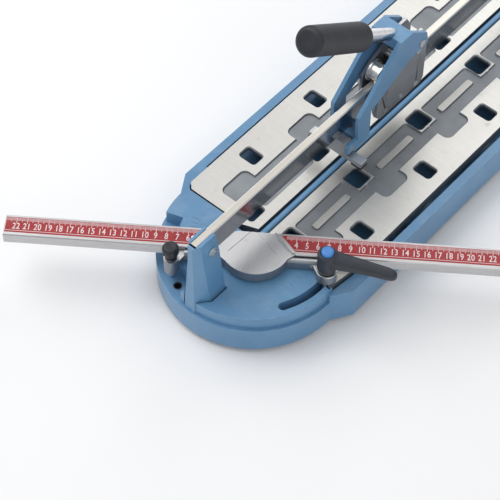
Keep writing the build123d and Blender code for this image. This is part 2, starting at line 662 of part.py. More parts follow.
def scale(side, length):
    """Thin printed scale in its recess, a hair proud of the ruler."""
    return SWIVEL * slab(scale_outline(side, length), RULER_TOP - SCALE_THICK + 0.02, RULER_TOP + 0.05)


def ruler_screws():
    """Headless screws through the arms into the rulers."""
    screws = []
    for u in ruler_screw_places():
        screws.append(SWIVEL * bar_v(u, ARM_FRONT + 0.6, -RULER_NOSE + 6.5, 1.5))
    return screws


def pivot_bolt():
    """Bolt under the base that holds the fence's boss down."""
    head = Pos(0, 0, FLOOR_BOTTOM - 4.5) * hexagon(6.5, 5)
    return head + post(0, 0, FLOOR_BOTTOM - 3, PIVOT_TOP - 3, PIVOT_BOLT)


def pivot_washer():
    """Washer between the pivot bolt's head and the base."""
    return post(0, 0, FLOOR_BOTTOM - 1.9, FLOOR_BOTTOM - 0.3, 9) - post(0, 0, 0, 60, PIVOT_BOLT + FIT)


def at_left_boss(shape):
    """Move a shape drawn about the Z axis to the left boss."""
    return SWIVEL * Pos(-BOSS_U, BOSS_V) * shape


def at_right_boss(shape):
    """Move a shape drawn about the Z axis to the right boss."""
    return SWIVEL * Pos(CLAMP_U, CLAMP_V) * shape


def plunger_sleeve():
    """Threaded sleeve of the index plunger, with a collar on top of the boss."""
    sleeve = post(0, 0, BOSS_LOW, RULER_TOP, INDEX_PIN + 2) + post(0, 0, RULER_TOP, RULER_TOP + 3.0, 5.8)
    sleeve -= post(0, 0, BOSS_LOW - 1, RULER_TOP + 4, INDEX_PIN + RUN)
    sleeve -= post(0, 0, BOSS_LOW + 3, RULER_TOP - 3, INDEX_PIN + 1.3)
    return at_left_boss(sleeve)


def index_pin():
    """Hard pin that drops into the ledge's bushes."""
    low = LEDGE_TOP + 0.4
    pin = Pos(0, 0, low + 1.5) * Cone(INDEX_PIN - 1.5, INDEX_PIN - 0.1, 3)
    pin += post(0, 0, low + 3, RULER_TOP + 15, INDEX_PIN)
    pin -= post(0, 0, BOSS_LOW + 2.5, RULER_TOP - 3, 10) - post(0, 0, 0, 90, INDEX_PIN - 0.9)
    return at_left_boss(pin)


def index_spring():
    """Spring inside the sleeve that pushes the pin down."""
    low = BOSS_LOW + 3.4
    high = RULER_TOP - 3.4
    path = Helix(pitch=(high - low) / 5, height=high - low, radius=INDEX_PIN - 0.15)
    start = Plane(path @ 0, z_dir=path % 0)
    return at_left_boss(Pos(0, 0, low) * sweep(start * Circle(0.35), path=path))


def index_knob():
    """Fluted pull knob on top of the index pin."""
    low = RULER_TOP + 4.0
    profile = polygon((0, 0, low), (5.2, 0, low), (5.2, 0, low + 2), (7.4, 0, low + 4), (8.0, 0, low + 6),
                      (8.0, 0, low + 10), (6.6, 0, low + 12.6), (3, 0, low + 13.6), (0, 0, low + 13.6))
    knob = revolve(profile, axis=Axis.Z)
    for step in range(8):
        x, y = polar(9.2, step * 45 + 22.5)
        knob -= post(x, y, RULER_TOP + 6, RULER_TOP + 19, 2.0)
    knob -= post(0, 0, RULER_TOP + 2, RULER_TOP + 15, INDEX_PIN + FIT)
    return at_left_boss(knob)


def clamp_washer():
    """Bright washer on the right boss, under the lever."""
    ring = post(0, 0, RULER_TOP - 1, RULER_TOP + 0.8, HUB_RADIUS + 0.6) - post(0, 0, 0, 90, STUD + RUN)
    return at_right_boss(ring)


def clamp_sleeve():
    """Spacer round the stud, from the arm down to the floor of the base."""
    low = FLOOR_TOP - 1
    return at_right_boss(post(0, 0, low, ARM_BOTTOM, SLEEVE) - post(0, 0, 0, 90, STUD + RUN))


def clamp_tee_nut():
    """Flat nut under the base that the stud pulls on."""
    plate = Pos(0, 0, FLOOR_BOTTOM - 3.3) * hexagon(5.8, 6)
    return at_right_boss(plate - post(0, 0, 0, 90, STUD + RUN))


def clamp_stud():
    """Threaded stud of the clamp, from the hub to the nut."""
    return at_right_boss(post(0, 0, FLOOR_BOTTOM - 7, HUB_BOTTOM + 12, STUD))


def clamp_lever():
    """Adjustable lever: hub with a tapered arm."""
    hub = post(0, 0, HUB_BOTTOM, HUB_TOP, HUB_RADIUS)
    outline = make_hull((Circle(HUB_RADIUS - 0.4) + Pos(LEVER_LENGTH, 0) * Circle(LEVER_TIP)).edges())
    side = polygon((0, 0, HUB_TOP - 18), (0, 0, HUB_TOP), (12, 0, HUB_TOP - 1), (34, 0, HUB_TOP - 4),
                   (70, 0, HUB_TOP - 10), (70, 0, HUB_TOP - 21), (46, 0, HUB_TOP - 18.5),
                   (24, 0, HUB_TOP - 17.5))
    arm = slab(outline, HUB_BOTTOM, HUB_TOP + 1) & extrude(side, amount=40, both=True, dir=(0, 1, 0))
    lever = hub + arm
    lever -= post(0, 0, HUB_TOP - 5, HUB_TOP + 1, BUTTON_RADIUS + 0.3)
    lever -= post(0, 0, HUB_BOTTOM - 1, HUB_BOTTOM + 12.2, STUD + FIT)
    return at_right_boss(Rot(0, 0, LEVER_ANGLE) * lever)


def release_button():
    """Domed push button in the lever's hub."""
    low = HUB_TOP - 5 + BUTTON_TRAVEL + 0.3
    button = post(0, 0, low, HUB_TOP + BUTTON_PROUD, BUTTON_RADIUS)
    button = fillet(button.edges().group_by(Axis.Z)[-1], 2.0)
    return at_right_boss(button)


# ---- carriage
def at_carriage(shape):
    """Move a shape drawn about the carriage's middle to where the carriage is parked."""
    return Pos(0, CARRIAGE_Y, 0) * shape


def roller_places():
    """Rollers: name, distance from the carriage's middle, and height of the axle."""
    above = RAIL_TOP + ROLLER_RADIUS + 0.03
    below = RAIL_BOTTOM - ROLLER_RADIUS - 0.03
    return [("front_top_roller", -ROLLER_SPACING, above), ("rear_top_roller", ROLLER_SPACING, above),
            ("front_bottom_roller", -ROLLER_SPACING, below), ("rear_bottom_roller", ROLLER_SPACING, below)]


def carriage_plate(side):
    """One cheek of the carriage."""
    half = PLATE_LENGTH / 2
    outline = polygon((0, -half, PLATE_BOTTOM + 6), (0, -half + 6, PLATE_BOTTOM), (0, half - 6, PLATE_BOTTOM),
                      (0, half, PLATE_BOTTOM + 6), (0, half, RAIL_TOP + 22), (0, HANDLE_Y + 9, HANDLE_Z + 8),
                      (0, HANDLE_Y - 8, HANDLE_Z + 8), (0, -half + 10, RAIL_TOP + 15), (0, -half, RAIL_TOP + 8))
    plate = extrude(outline, amount=PLATE_THICK, dir=(side, 0, 0))
    plate = Pos(side * PLATE_INNER, 0, 0) * plate
    for name, y, z in roller_places():
        plate -= bar_x(-30, 30, y, z, AXLE + FIT)
    plate -= bar_x(-30, 30, HANDLE_Y, HANDLE_Z, HANDLE_PIN + FIT)
    for y, z in tie_places():
        plate -= bar_x(-30, 30, y, z, 2.5 + FIT)
    return at_carriage(plate)


def tie_places():
    """Tie bolts that hold the two cheeks and their spacers."""
    return ((0, RAIL_TOP + 12), (0, RAIL_BOTTOM - 8))


def carriage_spacers():
    """Tubes between the cheeks."""
    tubes = []
    for y, z in tie_places():
        tube = bar_x(-PLATE_INNER, PLATE_INNER, y, z, 5) - bar_x(-20, 20, y, z, 2.5 + FIT)
        tubes.append(at_carriage(tube))
    return tubes


def carriage_ties():
    """Tie bolts through the spacers."""
    face = PLATE_INNER + PLATE_THICK
    ties = []
    for y, z in tie_places():
        tie = bar_x(-face - 0.8, face + 0.8, y, z, 2.5)
        ties.append(at_carriage(tie))
    return ties


def roller_axles():
    """Axle screws of the four rollers."""
    face = PLATE_INNER + PLATE_THICK
    return [at_carriage(bar_x(-face - 0.8, face + 0.8, y, z, AXLE)) for name, y, z in roller_places()]


def roller(y, z):
    """One grooved roller that straddles the rail."""
    tread = bar_x(-ROLLER_HALF, ROLLER_HALF, y, z, ROLLER_RADIUS)
    for side in (-1, 1):
        outer = side * ROLLER_HALF
        inner = side * (RAIL_WIDTH / 2 + 0.4)
        tread += bar_x(min(outer, inner), max(outer, inner), y, z, ROLLER_RADIUS + ROLLER_FLANGE)
    return at_carriage(tread - bar_x(-20, 20, y, z, AXLE + RUN))


# ---- handle
def handle_yoke():
    """Fork that straddles the carriage, from the handle's root down to the wheel and the breaker foot."""
    front, back = WHEEL_Y - 9, WHEEL_Y + 9
    cheek = polygon((0, HANDLE_Y + 10, HANDLE_Z - 6), (0, HANDLE_Y + 7, HANDLE_Z + 9),
                    (0, HANDLE_Y - 16, HANDLE_Z + 27), (0, HANDLE_Y - 34, HANDLE_Z + 27),
                    (0, front, RAIL_TOP - 4), (0, front, BRIDGE_LOW), (0, back, BRIDGE_LOW),
                    (0, back, RAIL_TOP - 8), (0, HANDLE_Y - 20, HANDLE_Z - 9))
    outer = YOKE_INNER + YOKE_THICK
    yoke = block(-outer, outer, front, back, BRIDGE_LOW, BRIDGE_HIGH)
    yoke += block(-outer, outer, HANDLE_Y - 34, HANDLE_Y - 16, HANDLE_Z + 14, HANDLE_Z + 27)
    for side in (-1, 1):
        yoke += Pos(side * YOKE_INNER, 0, 0) * extrude(cheek, amount=YOKE_THICK, dir=(side, 0, 0))
        lug = sorted((side * YOKE_INNER, side * outer))
        yoke += block(lug[0], lug[1], BREAKER_Y - 6, front + 1, BRIDGE_LOW, BRIDGE_HIGH)
    yoke -= bar_x(-30, 30, BREAKER_Y, BREAKER_Z, BREAKER_PIN + FIT)
    yoke -= bar_x(-30, 30, HANDLE_Y, HANDLE_Z, HANDLE_PIN + RUN)
    yoke -= handle_line(HANDLE_TUBE + FIT, -6, 30)
    yoke -= post(0, WHEEL_Y, BRIDGE_LOW - 1, BRIDGE_HIGH + 1, 3 + FIT)
    return at_carriage(yoke)


def handle_line(radius, start, end):
    """A cylinder on the handle's sloping axis; distances are from its root."""
    middle = (start + end) / 2
    slope = Rot(90 - HANDLE_ANGLE, 0, 0)
    return Pos(0, HANDLE_Y - 25, HANDLE_Z + 20.5) * slope * Pos(0, 0, middle) * Cylinder(radius, end - start)


def handle_pin():
    """Pivot pin of the handle."""
    reach = YOKE_INNER + YOKE_THICK + 1.2
    return at_carriage(bar_x(-reach, reach, HANDLE_Y, HANDLE_Z, HANDLE_PIN))


def handle_tube():
    """Steel bar of the handle."""
    return at_carriage(handle_line(HANDLE_TUBE, -5, HANDLE_LENGTH))


def handle_grip():
    """Moulded grip over the end of the bar."""
    start = HANDLE_LENGTH - GRIP_LENGTH + 6
    grip = handle_line(GRIP_RADIUS, start, HANDLE_LENGTH + 6)
    grip = fillet(grip.edges().filter_by(GeomType.CIRCLE), 5)
    return at_carriage(grip - handle_line(HANDLE_TUBE + FIT, start - 1, HANDLE_LENGTH + 0.3))


def wheel_holder():
    """Slotted holder below the yoke that carries the scoring wheel."""
    low = WHEEL_Z - 3.5
    body = block(-HOLDER_HALF, HOLDER_HALF, WHEEL_Y - 6, WHEEL_Y + 6, low, BRIDGE_LOW)
    body += post(0, WHEEL_Y, BRIDGE_LOW - 1, BRIDGE_HIGH, 3)
    slot = WHEEL_THICK / 2 + 0.3
    body -= block(-slot, slot, WHEEL_Y - 10, WHEEL_Y + 10, low - 1, WHEEL_Z + 2)
    body -= bar_x(-slot, slot, WHEEL_Y, WHEEL_Z, WHEEL_RADIUS + 0.5)
    return at_carriage(body - bar_x(-30, 30, WHEEL_Y, WHEEL_Z, WHEEL_AXLE + FIT))


def wheel_axle():
    """Axle of the scoring wheel."""
    reach = HOLDER_HALF + 0.4
    return at_carriage(bar_x(-reach, reach, WHEEL_Y, WHEEL_Z, WHEEL_AXLE))


def scoring_wheel():
    """Carbide wheel with a bevelled cutting edge."""
    half = WHEEL_THICK / 2
    section = polygon((0, half, 0), (WHEEL_RADIUS - 2.0, half, 0), (WHEEL_RADIUS, 0, 0),
                      (WHEEL_RADIUS - 2.0, -half, 0), (0, -half, 0))
    disc = Rot(0, 0, -90) * revolve(section, axis=Axis.Y)
    return at_carriage(Pos(0, WHEEL_Y, WHEEL_Z) * (disc - bar_x(-5, 5, 0, 0, WHEEL_AXLE + RUN)))


def breaker_foot():
    """Swinging foot that presses on both sides of the cut."""
    hub = YOKE_INNER - 0.5
    foot = block(-hub, hub, BREAKER_Y - 5, BREAKER_Y + 5, PAD_BOTTOM + 3, BREAKER_Z + 5)
    foot += block(-BREAKER_HALF, BREAKER_HALF, BREAKER_Y - 5, BREAKER_Y + 5, PAD_BOTTOM + 3, PAD_BOTTOM + 8)
    return at_carriage(foot - bar_x(-30, 30, BREAKER_Y, BREAKER_Z, BREAKER_PIN + RUN))


def breaker_pads():
    """Rubber pads under the breaker foot."""
    pads = []
    for side in (-1, 1):
        x0, x1 = sorted((side * (BREAKER_HALF - 12), side * BREAKER_HALF))
        pads.append(at_carriage(block(x0, x1, BREAKER_Y - 5, BREAKER_Y + 5, PAD_BOTTOM, PAD_BOTTOM + 3)))
    return pads


def breaker_pin():
    """Pin that the breaker foot swings on."""
    reach = YOKE_INNER + YOKE_THICK + 0.8
    return at_carriage(bar_x(-reach, reach, BREAKER_Y, BREAKER_Z, BREAKER_PIN))


NODES = {
    "base_casting": base_casting(),
    "breaking_ridge": breaking_ridge(),
    "ridge_pins": ridge_pins(),
    "rubber_feet": rubber_feet(),
    "foot_screws": foot_screws(),
    "index_bushes": index_bushes(),
    "pivot_bush": pivot_bush(),
    "guide_rail": guide_rail(),
    "front_head": front_head(),
    "rear_head": rear_head(),
    "front_head_screws": front_head_screws(),
    "rear_head_screws": rear_head_screws(),
    "rail_clamp_bolts": rail_clamp_bolts(),
    "rail_clamp_nuts": rail_clamp_nuts(),
    "left_table": sprung_table(-1),
    "right_table": sprung_table(1),
    "left_table_pins": table_pins(-1),
    "right_table_pins": table_pins(1),
    "left_table_springs": table_springs(-1),
    "right_table_springs": table_springs(1),
    "swivel_casting": swivel_casting(),
    "left_ruler": ruler(-1, RULER_LEFT),
    "right_ruler": ruler(1, RULER_RIGHT),
    "left_scale": scale(-1, RULER_LEFT),
    "right_scale": scale(1, RULER_RIGHT),
    "ruler_screws": ruler_screws(),
    "pivot_bolt": pivot_bolt(),
    "pivot_washer": pivot_washer(),
    "plunger_sleeve": plunger_sleeve(),
    "index_pin": index_pin(),
    "index_spring": index_spring(),
    "index_knob": index_knob(),
    "clamp_washer": clamp_washer(),
    "clamp_sleeve": clamp_sleeve(),
    "clamp_tee_nut": clamp_tee_nut(),
    "clamp_stud": clamp_stud(),
    "clamp_lever": clamp_lever(),
    "release_button": release_button(),
    "carriage_left_plate": carriage_plate(-1),
    "carriage_right_plate": carriage_plate(1),
    "carriage_spacers": carriage_spacers(),
    "carriage_ties": carriage_ties(),
    "roller_axles": roller_axles(),
    "handle_yoke": handle_yoke(),
    "handle_pin": handle_pin(),
    "handle_tube": handle_tube(),
    "handle_grip": handle_grip(),
    "wheel_holder": wheel_holder(),
    "wheel_axle": wheel_axle(),
    "scoring_wheel": scoring_wheel(),
    "breaker_foot": breaker_foot(),
    "breaker_pads": breaker_pads(),
    "breaker_pin": breaker_pin(),
}
for name, y, z in roller_places():
    NODES[name] = roller(y, z)


def as_list(shape):
    """The separate solids of a node."""
    return list(shape) if isinstance(shape, list) else [shape]


def footprint_centre():
    """Middle of everything, at floor level, in the drawing's own coordinates."""
    boxes = [piece.bounding_box() for shape in NODES.values() for piece in as_list(shape)]
    low_x, high_x = min(box.min.X for box in boxes), max(box.max.X for box in boxes)
    low_y, high_y = min(box.min.Y for box in boxes), max(box.max.Y for box in boxes)
    return Vector((low_x + high_x) / 2, (low_y + high_y) / 2, min(box.min.Z for box in boxes))


CENTRE = footprint_centre()
os.makedirs("parts", exist_ok=True)
for name, shape in NODES.items():
    solids = [solid for piece in as_list(shape) for solid in piece.solids()]
    moved = [Pos(-CENTRE.X, -CENTRE.Y, -CENTRE.Z) * solid for solid in solids]
    export_step(moved[0] if len(moved) == 1 else Compound(children=moved), "parts/" + name + ".step")
print("footprint centre", round(CENTRE.X, 4), round(CENTRE.Y, 4), round(CENTRE.Z, 4))
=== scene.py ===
"""Looks of a manual tile cutter: painted base, sprung tables, chromed rail and swivelling fence."""
import json
import logging
import math
from collections.abc import Callable, Iterable, Sequence
from dataclasses import dataclass, field
from enum import Enum

import bmesh
import bpy
from mathutils import Matrix, Vector


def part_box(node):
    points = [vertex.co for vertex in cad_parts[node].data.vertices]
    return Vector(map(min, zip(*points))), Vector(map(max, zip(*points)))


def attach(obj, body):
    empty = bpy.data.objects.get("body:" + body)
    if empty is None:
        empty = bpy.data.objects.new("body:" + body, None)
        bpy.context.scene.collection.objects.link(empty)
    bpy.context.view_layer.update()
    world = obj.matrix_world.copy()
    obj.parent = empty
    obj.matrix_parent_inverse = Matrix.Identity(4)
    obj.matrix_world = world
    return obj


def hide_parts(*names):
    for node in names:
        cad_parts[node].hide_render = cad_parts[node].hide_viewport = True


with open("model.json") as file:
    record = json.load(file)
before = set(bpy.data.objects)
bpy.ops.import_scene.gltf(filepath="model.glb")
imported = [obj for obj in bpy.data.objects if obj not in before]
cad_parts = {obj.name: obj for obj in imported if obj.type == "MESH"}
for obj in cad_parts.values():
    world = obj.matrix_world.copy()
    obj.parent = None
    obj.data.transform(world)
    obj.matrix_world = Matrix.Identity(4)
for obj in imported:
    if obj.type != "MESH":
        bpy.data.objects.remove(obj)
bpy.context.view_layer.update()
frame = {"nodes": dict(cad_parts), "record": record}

LOG = logging.getLogger("tile_cutter")
MM = 0.001
Colour = tuple[float, float, float]
Number = "Shade | float"


def place_of(joint: str) -> Vector:
    """Point on a hinge's axis, in metres."""
    return next(Vector(entry["pos_m"]) for entry in frame["record"]["behaviour"]["joints"] if entry["name"] == joint)


def box_of(node: str) -> tuple[Vector, Vector]:
    """Lowest and highest corner of a CAD node."""
    low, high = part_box(node)
    return Vector(low), Vector(high)


class Slot(Enum):
    """Material slots of the record."""

    BLUE_PAINT = "blue_paint"
    CAST_ALUMINIUM = "cast_aluminium"
    EXTRUDED_ALUMINIUM = "extruded_aluminium"
    RAIL_CHROME = "rail_chrome"
    BRIGHT_STEEL = "bright_steel"
    DARK_STEEL = "dark_steel"
    SPRING_STEEL = "spring_steel"
    BRONZE = "bronze"
    RED_SCALE = "red_scale"
    BLACK_PLASTIC = "black_plastic"
    LEVER_PLASTIC = "lever_plastic"
    BLUE_PLASTIC = "blue_plastic"
    BLACK_RUBBER = "black_rubber"
    CARBIDE = "carbide"


class Shade:
    """A shader socket that takes part in ordinary arithmetic."""

    def __init__(self, graph: "Graph", socket: bpy.types.NodeSocket) -> None:
        """Keeps the socket and the graph it belongs to."""
        self.graph = graph
        self.socket = socket

    def maths(self, operation: str, first: Number, second: Number = 0.0) -> "Shade":
        """Adds one Math node.

        Args:
            operation: the node's operation.
            first: its first value.
            second: its second value.

        Returns:
            The node's result.
        """
        return self.graph.node("ShaderNodeMath", {"operation": operation}, {0: first, 1: second})

    def __add__(self, other: Number) -> "Shade":
        """self + other."""
        return self.maths("ADD", self, other)

    def __radd__(self, other: Number) -> "Shade":
        """other + self."""
        return self.maths("ADD", other, self)

    def __sub__(self, other: Number) -> "Shade":
        """self - other."""
        return self.maths("SUBTRACT", self, other)

    def __rsub__(self, other: Number) -> "Shade":
        """other - self."""
        return self.maths("SUBTRACT", other, self)

    def __mul__(self, other: Number) -> "Shade":
        """self * other."""
        return self.maths("MULTIPLY", self, other)

    def __rmul__(self, other: Number) -> "Shade":
        """other * self."""
        return self.maths("MULTIPLY", other, self)

    def between(self, low: float, high: float) -> "Shade":
        """Stretches the values from low to high over 0 to 1, and clips them.

        Args:
            low: value that becomes 0.
            high: value that becomes 1.

        Returns:
            The stretched value.
        """
        settings = {"clamp": True, "interpolation_type": "SMOOTHSTEP"}
        return self.graph.node("ShaderNodeMapRange", settings, {"Value": self, "From Min": low, "From Max": high})


class Graph:
    """The node tree of one material."""

    def __init__(self, name: str) -> None:
        """Starts a material with an empty tree."""
        self.material = bpy.data.materials.new(name)
        self.material.use_nodes = True
        self.tree = self.material.node_tree
        self.tree.nodes.clear()

    def node(self, kind: str, settings: dict | None = None, sockets: dict | None = None,
             output: int | str = 0) -> Shade:
        """Adds a node.

        Args:
            kind: the node's type.
            settings: its properties; "stops" fills a colour ramp.
            sockets: values or links of its inputs, by name or number.
            output: the output that is returned.

        Returns:
            The chosen output.
        """
        made = self.tree.nodes.new(kind)
        for key, value in (settings or {}).items():
            if key == "stops":
                ramp = made.color_ramp.elements
                while len(ramp) < len(value):
                    ramp.new(0.5)
                for element, (position, colour) in zip(ramp, value):
                    element.position = position
                    element.color = (*colour, 1.0)
            else:
                setattr(made, key, value)
        for key, value in (sockets or {}).items():
            if isinstance(value, Shade):
                self.tree.links.new(value.socket, made.inputs[key])
            elif isinstance(value, tuple) and made.inputs[key].type == "RGBA":
                made.inputs[key].default_value = (*value, 1.0)
            else:
                made.inputs[key].default_value = value
        return Shade(self, made.outputs[output])

    def place(self, stretch: Colour = (1.0, 1.0, 1.0), turn: float = 0.0) -> Shade:
        """Position on the piece, in metres.

        Args:
            stretch: scale along each axis.
            turn: degrees about Z, applied first.

        Returns:
            The stretched position.
        """
        point = self.node("ShaderNodeTexCoord", output="Object")
        sockets = {"Vector": point, "Rotation": (0.0, 0.0, math.radians(-turn)), "Scale": stretch}
        if turn:
            sockets["Scale"] = (1.0, 1.0, 1.0)
            point = self.node("ShaderNodeMapping", {"vector_type": "POINT"}, sockets)
            return self.node("ShaderNodeVectorMath", {"operation": "MULTIPLY"}, {0: point, 1: stretch})
        return self.node("ShaderNodeMapping", {"vector_type": "POINT"}, sockets)

    def noise(self, size: float, detail: float = 3.0, where: Shade | None = None, rough: float = 0.55) -> Shade:
        """Cloudy variation.

        Args:
            size: size of its features, in millimetres.
            detail: octaves.
            where: position to use instead of the plain one.
            rough: strength of the finer octaves.

        Returns:
            A value about 0.5.
        """
        sockets = {"Vector": where or self.place(), "Scale": 1000.0 / size, "Detail": detail, "Roughness": rough}
        return self.node("ShaderNodeTexNoise", {"noise_dimensions": "3D"}, sockets, "Fac")

    def mix(self, amount: Number, first: "Shade | Colour", second: "Shade | Colour") -> Shade:
        """Mixes two colours.

        Args:
            amount: 0 for the first, 1 for the second.
            first: one colour.
            second: the other colour.

        Returns:
            The mixed colour.
        """
        mixer = self.tree.nodes.new("ShaderNodeMix")
        mixer.data_type = "RGBA"
        for socket, value in zip((mixer.inputs[0], mixer.inputs[6], mixer.inputs[7]), (amount, first, second)):
            if isinstance(value, Shade):
                self.tree.links.new(value.socket, socket)
            else:
                socket.default_value = (*value, 1.0) if isinstance(value, tuple) else value
        return Shade(self, mixer.outputs[2])

    def bump(self, height: Shade, depth: float, strength: float = 1.0, under: Shade | None = None) -> Shade:
        """Turns a height into a surface normal.

        Args:
            height: height from 0 to 1.
            depth: real depth in millimetres.
            strength: share of the effect.
            under: a normal to add to.

        Returns:
            The normal.
        """
        sockets = {"Height": height, "Distance": depth * MM, "Strength": strength}
        if under:
            sockets["Normal"] = under
        return self.node("ShaderNodeBump", None, sockets)

    def upward(self) -> Shade:
        """How far the surface faces up, from -1 to 1."""
        normal = self.node("ShaderNodeNewGeometry", output="Normal")
        return self.node("ShaderNodeSeparateXYZ", None, {0: normal}, "Z")

    def height(self) -> Shade:
        """Height on the piece, in metres."""
        return self.node("ShaderNodeSeparateXYZ", None, {0: self.place()}, "Z")

    def edges(self, radius: float) -> Shade:
        """Mask of edges, 1 along the sharp ones; it carries edge wear and, on castings, a painted edge highlight.

        Args:
            radius: reach of the mask, in millimetres.

        Returns:
            The mask.
        """
        soft = self.node("ShaderNodeBevel", {"samples": 4}, {"Radius": radius * MM})
        plain = self.node("ShaderNodeNewGeometry", output="Normal")
        same = self.node("ShaderNodeVectorMath", {"operation": "DOT_PRODUCT"}, {0: soft, 1: plain}, "Value")
        return (1.0 - same).between(0.02, 0.2)

    def finish(self, sockets: dict) -> bpy.types.Material:
        """Closes the tree with one principled surface.

        Args:
            sockets: values or links of the surface's inputs.

        Returns:
            The finished material.
        """
        surface = self.node("ShaderNodeBsdfPrincipled", None, sockets)
        self.node_output(surface)
        return self.material

    def node_output(self, surface: Shade) -> None:
        """Links a surface to the material's output."""
        target = self.tree.nodes.new("ShaderNodeOutputMaterial")
        self.tree.links.new(surface.socket, target.inputs["Surface"])


@dataclass(frozen=True)
class GlossPaint:
    """Gloss paint over a fine cast surface, rubbed on its edges."""

    name: str
    colour: Colour
    deep: Colour
    worn: Colour = (0.55, 0.70, 0.82)
    grain: float = 1.6
    sheen: float = 0.30

    def make(self) -> bpy.types.Material:
        """Builds the material."""
        graph = Graph(self.name)
        clouds = graph.noise(60.0, 4.0)
        speckle = graph.noise(2.2, 3.0)
        colour = graph.mix(clouds.between(0.30, 0.72), self.deep, self.colour)
        colour = graph.mix(speckle.between(0.62, 0.80) * 0.18, colour, self.worn)
        rubbed = graph.edges(0.7) * graph.noise(7.0, 4.0).between(0.42, 0.66)
        colour = graph.mix(rubbed * 0.55, colour, self.worn)
        dust = graph.upward().between(0.8, 1.0) * graph.noise(18.0, 5.0).between(0.45, 0.75)
        colour = graph.mix(dust * 0.10, colour, (0.62, 0.66, 0.70))
        rough = self.sheen + graph.noise(25.0, 4.0) * 0.16 + dust * 0.10
        skin = graph.bump(graph.noise(self.grain, 2.0), 0.05, 0.55)
        skin = graph.bump(graph.noise(12.0, 2.0), 0.12, 0.35, skin)
        return graph.finish({"Base Color": colour, "Roughness": rough, "Normal": skin, "Coat Weight": 0.25,
                             "Coat Roughness": 0.16, "Specular IOR Level": 0.5})


@dataclass(frozen=True)
class CastMetal:
    """Satin casting with a gritty skin and stains, and painted light: up-facing tops painted bright, flanks and lower
    levels painted dark as shade, and a painted highlight on the edges, which are also smoother.
    """

    name: str
    # The first colour is the tops' painted light, the second the painted shade of the flanks and recesses.
    bright: Colour
    dull: Colour
    # Height in millimetres of the top level: only that level gets the painted light, lower levels get painted shade.
    machined: float = 0.0
    grain: float = 0.9
    rough: float = 0.34
    turn: float = 0.0

    def make(self) -> bpy.types.Material:
        """Builds the material."""
        graph = Graph(self.name)
        # Painted light and shade: faces that look up are painted bright, the rest are painted dark.
        top = graph.upward().between(0.9, 0.99)
        if self.machined:
            level = (self.machined - 1.2) * MM
            top = top * graph.height().between(level - 0.0004, level + 0.0004)
        clouds = graph.noise(35.0, 5.0)
        fine = graph.noise(self.grain, 4.0)
        strokes = graph.noise(0.8, 3.0, graph.place((1.0, 0.03, 1.0), self.turn))
        # Painted shade on the flanks and recesses, painted light on the tops.
        shaded_flank = graph.mix(clouds.between(0.3, 0.7), self.dull, tuple(0.82 * part for part in self.dull))
        face = graph.mix(strokes.between(0.3, 0.7) * 0.5, self.bright, tuple(0.86 * part for part in self.bright))
        colour = graph.mix(top, shaded_flank, face)
        stain = graph.noise(9.0, 6.0).between(0.60, 0.78)
        colour = graph.mix(stain * 0.22, colour, (0.30, 0.29, 0.27))
        # Painted highlight along the edges, mixed towards near white; the same mask also makes the edges smoother.
        smooth_edges_painted_highlight = graph.edges(0.6)
        colour = graph.mix(smooth_edges_painted_highlight * 0.7, colour, (0.90, 0.91, 0.92))
        rough = self.rough + (1.0 - top) * 0.14 + clouds * 0.10 + stain * 0.12 - smooth_edges_painted_highlight * 0.10
        skin = graph.bump(fine, 0.06, 0.5)
        skin = graph.bump(strokes, 0.015, 0.35, skin)
        return graph.finish({"Base Color": colour, "Metallic": 0.92, "Roughness": rough, "Normal": skin})


@dataclass(frozen=True)
class BrushedMetal:
    """Metal brushed along one direction."""

    name: str
    colour: Colour
    turn: float = 0.0
    along: Colour = (0.02, 1.0, 1.0)
    rough: float = 0.26

    def make(self) -> bpy.types.Material:
        """Builds the material."""
        graph = Graph(self.name)
        lines = graph.noise(0.45, 3.0, graph.place(self.along, self.turn))
        clouds = graph.noise(22.0, 4.0)
        dark = tuple(0.74 * part for part in self.colour)
        colour = graph.mix(lines.between(0.32, 0.70) * 0.6 + clouds.between(0.5, 0.8) * 0.25, self.colour, dark)
        knocks = graph.edges(0.35)
        colour = graph.mix(knocks * 0.5, colour, (0.92, 0.92, 0.92))
        rough = self.rough + lines * 0.12 + clouds * 0.08
        return graph.finish({"Base Color": colour, "Metallic": 1.0, "Roughness": rough,
                             "Normal": graph.bump(lines, 0.02, 0.4)})


@dataclass(frozen=True)
class PlatedSteel:
    """Smooth plated or blackened steel with light smears."""

    name: str
    colour: Colour
    rough: float = 0.20
    smear: float = 0.16

    def make(self) -> bpy.types.Material:
        """Builds the material."""
        graph = Graph(self.name)
        clouds = graph.noise(6.0, 5.0)
        fine = graph.noise(0.7, 3.0)
        dark = tuple(0.70 * part for part in self.colour)
        colour = graph.mix(clouds.between(0.35, 0.75), self.colour, dark)
        colour = graph.mix(graph.edges(0.25) * 0.5, colour, tuple(min(1.0, 1.25 * part) for part in self.colour))
        rough = self.rough + clouds * self.smear + fine * 0.05
        return graph.finish({"Base Color": colour, "Metallic": 1.0, "Roughness": rough,
                             "Normal": graph.bump(fine, 0.01, 0.3)})


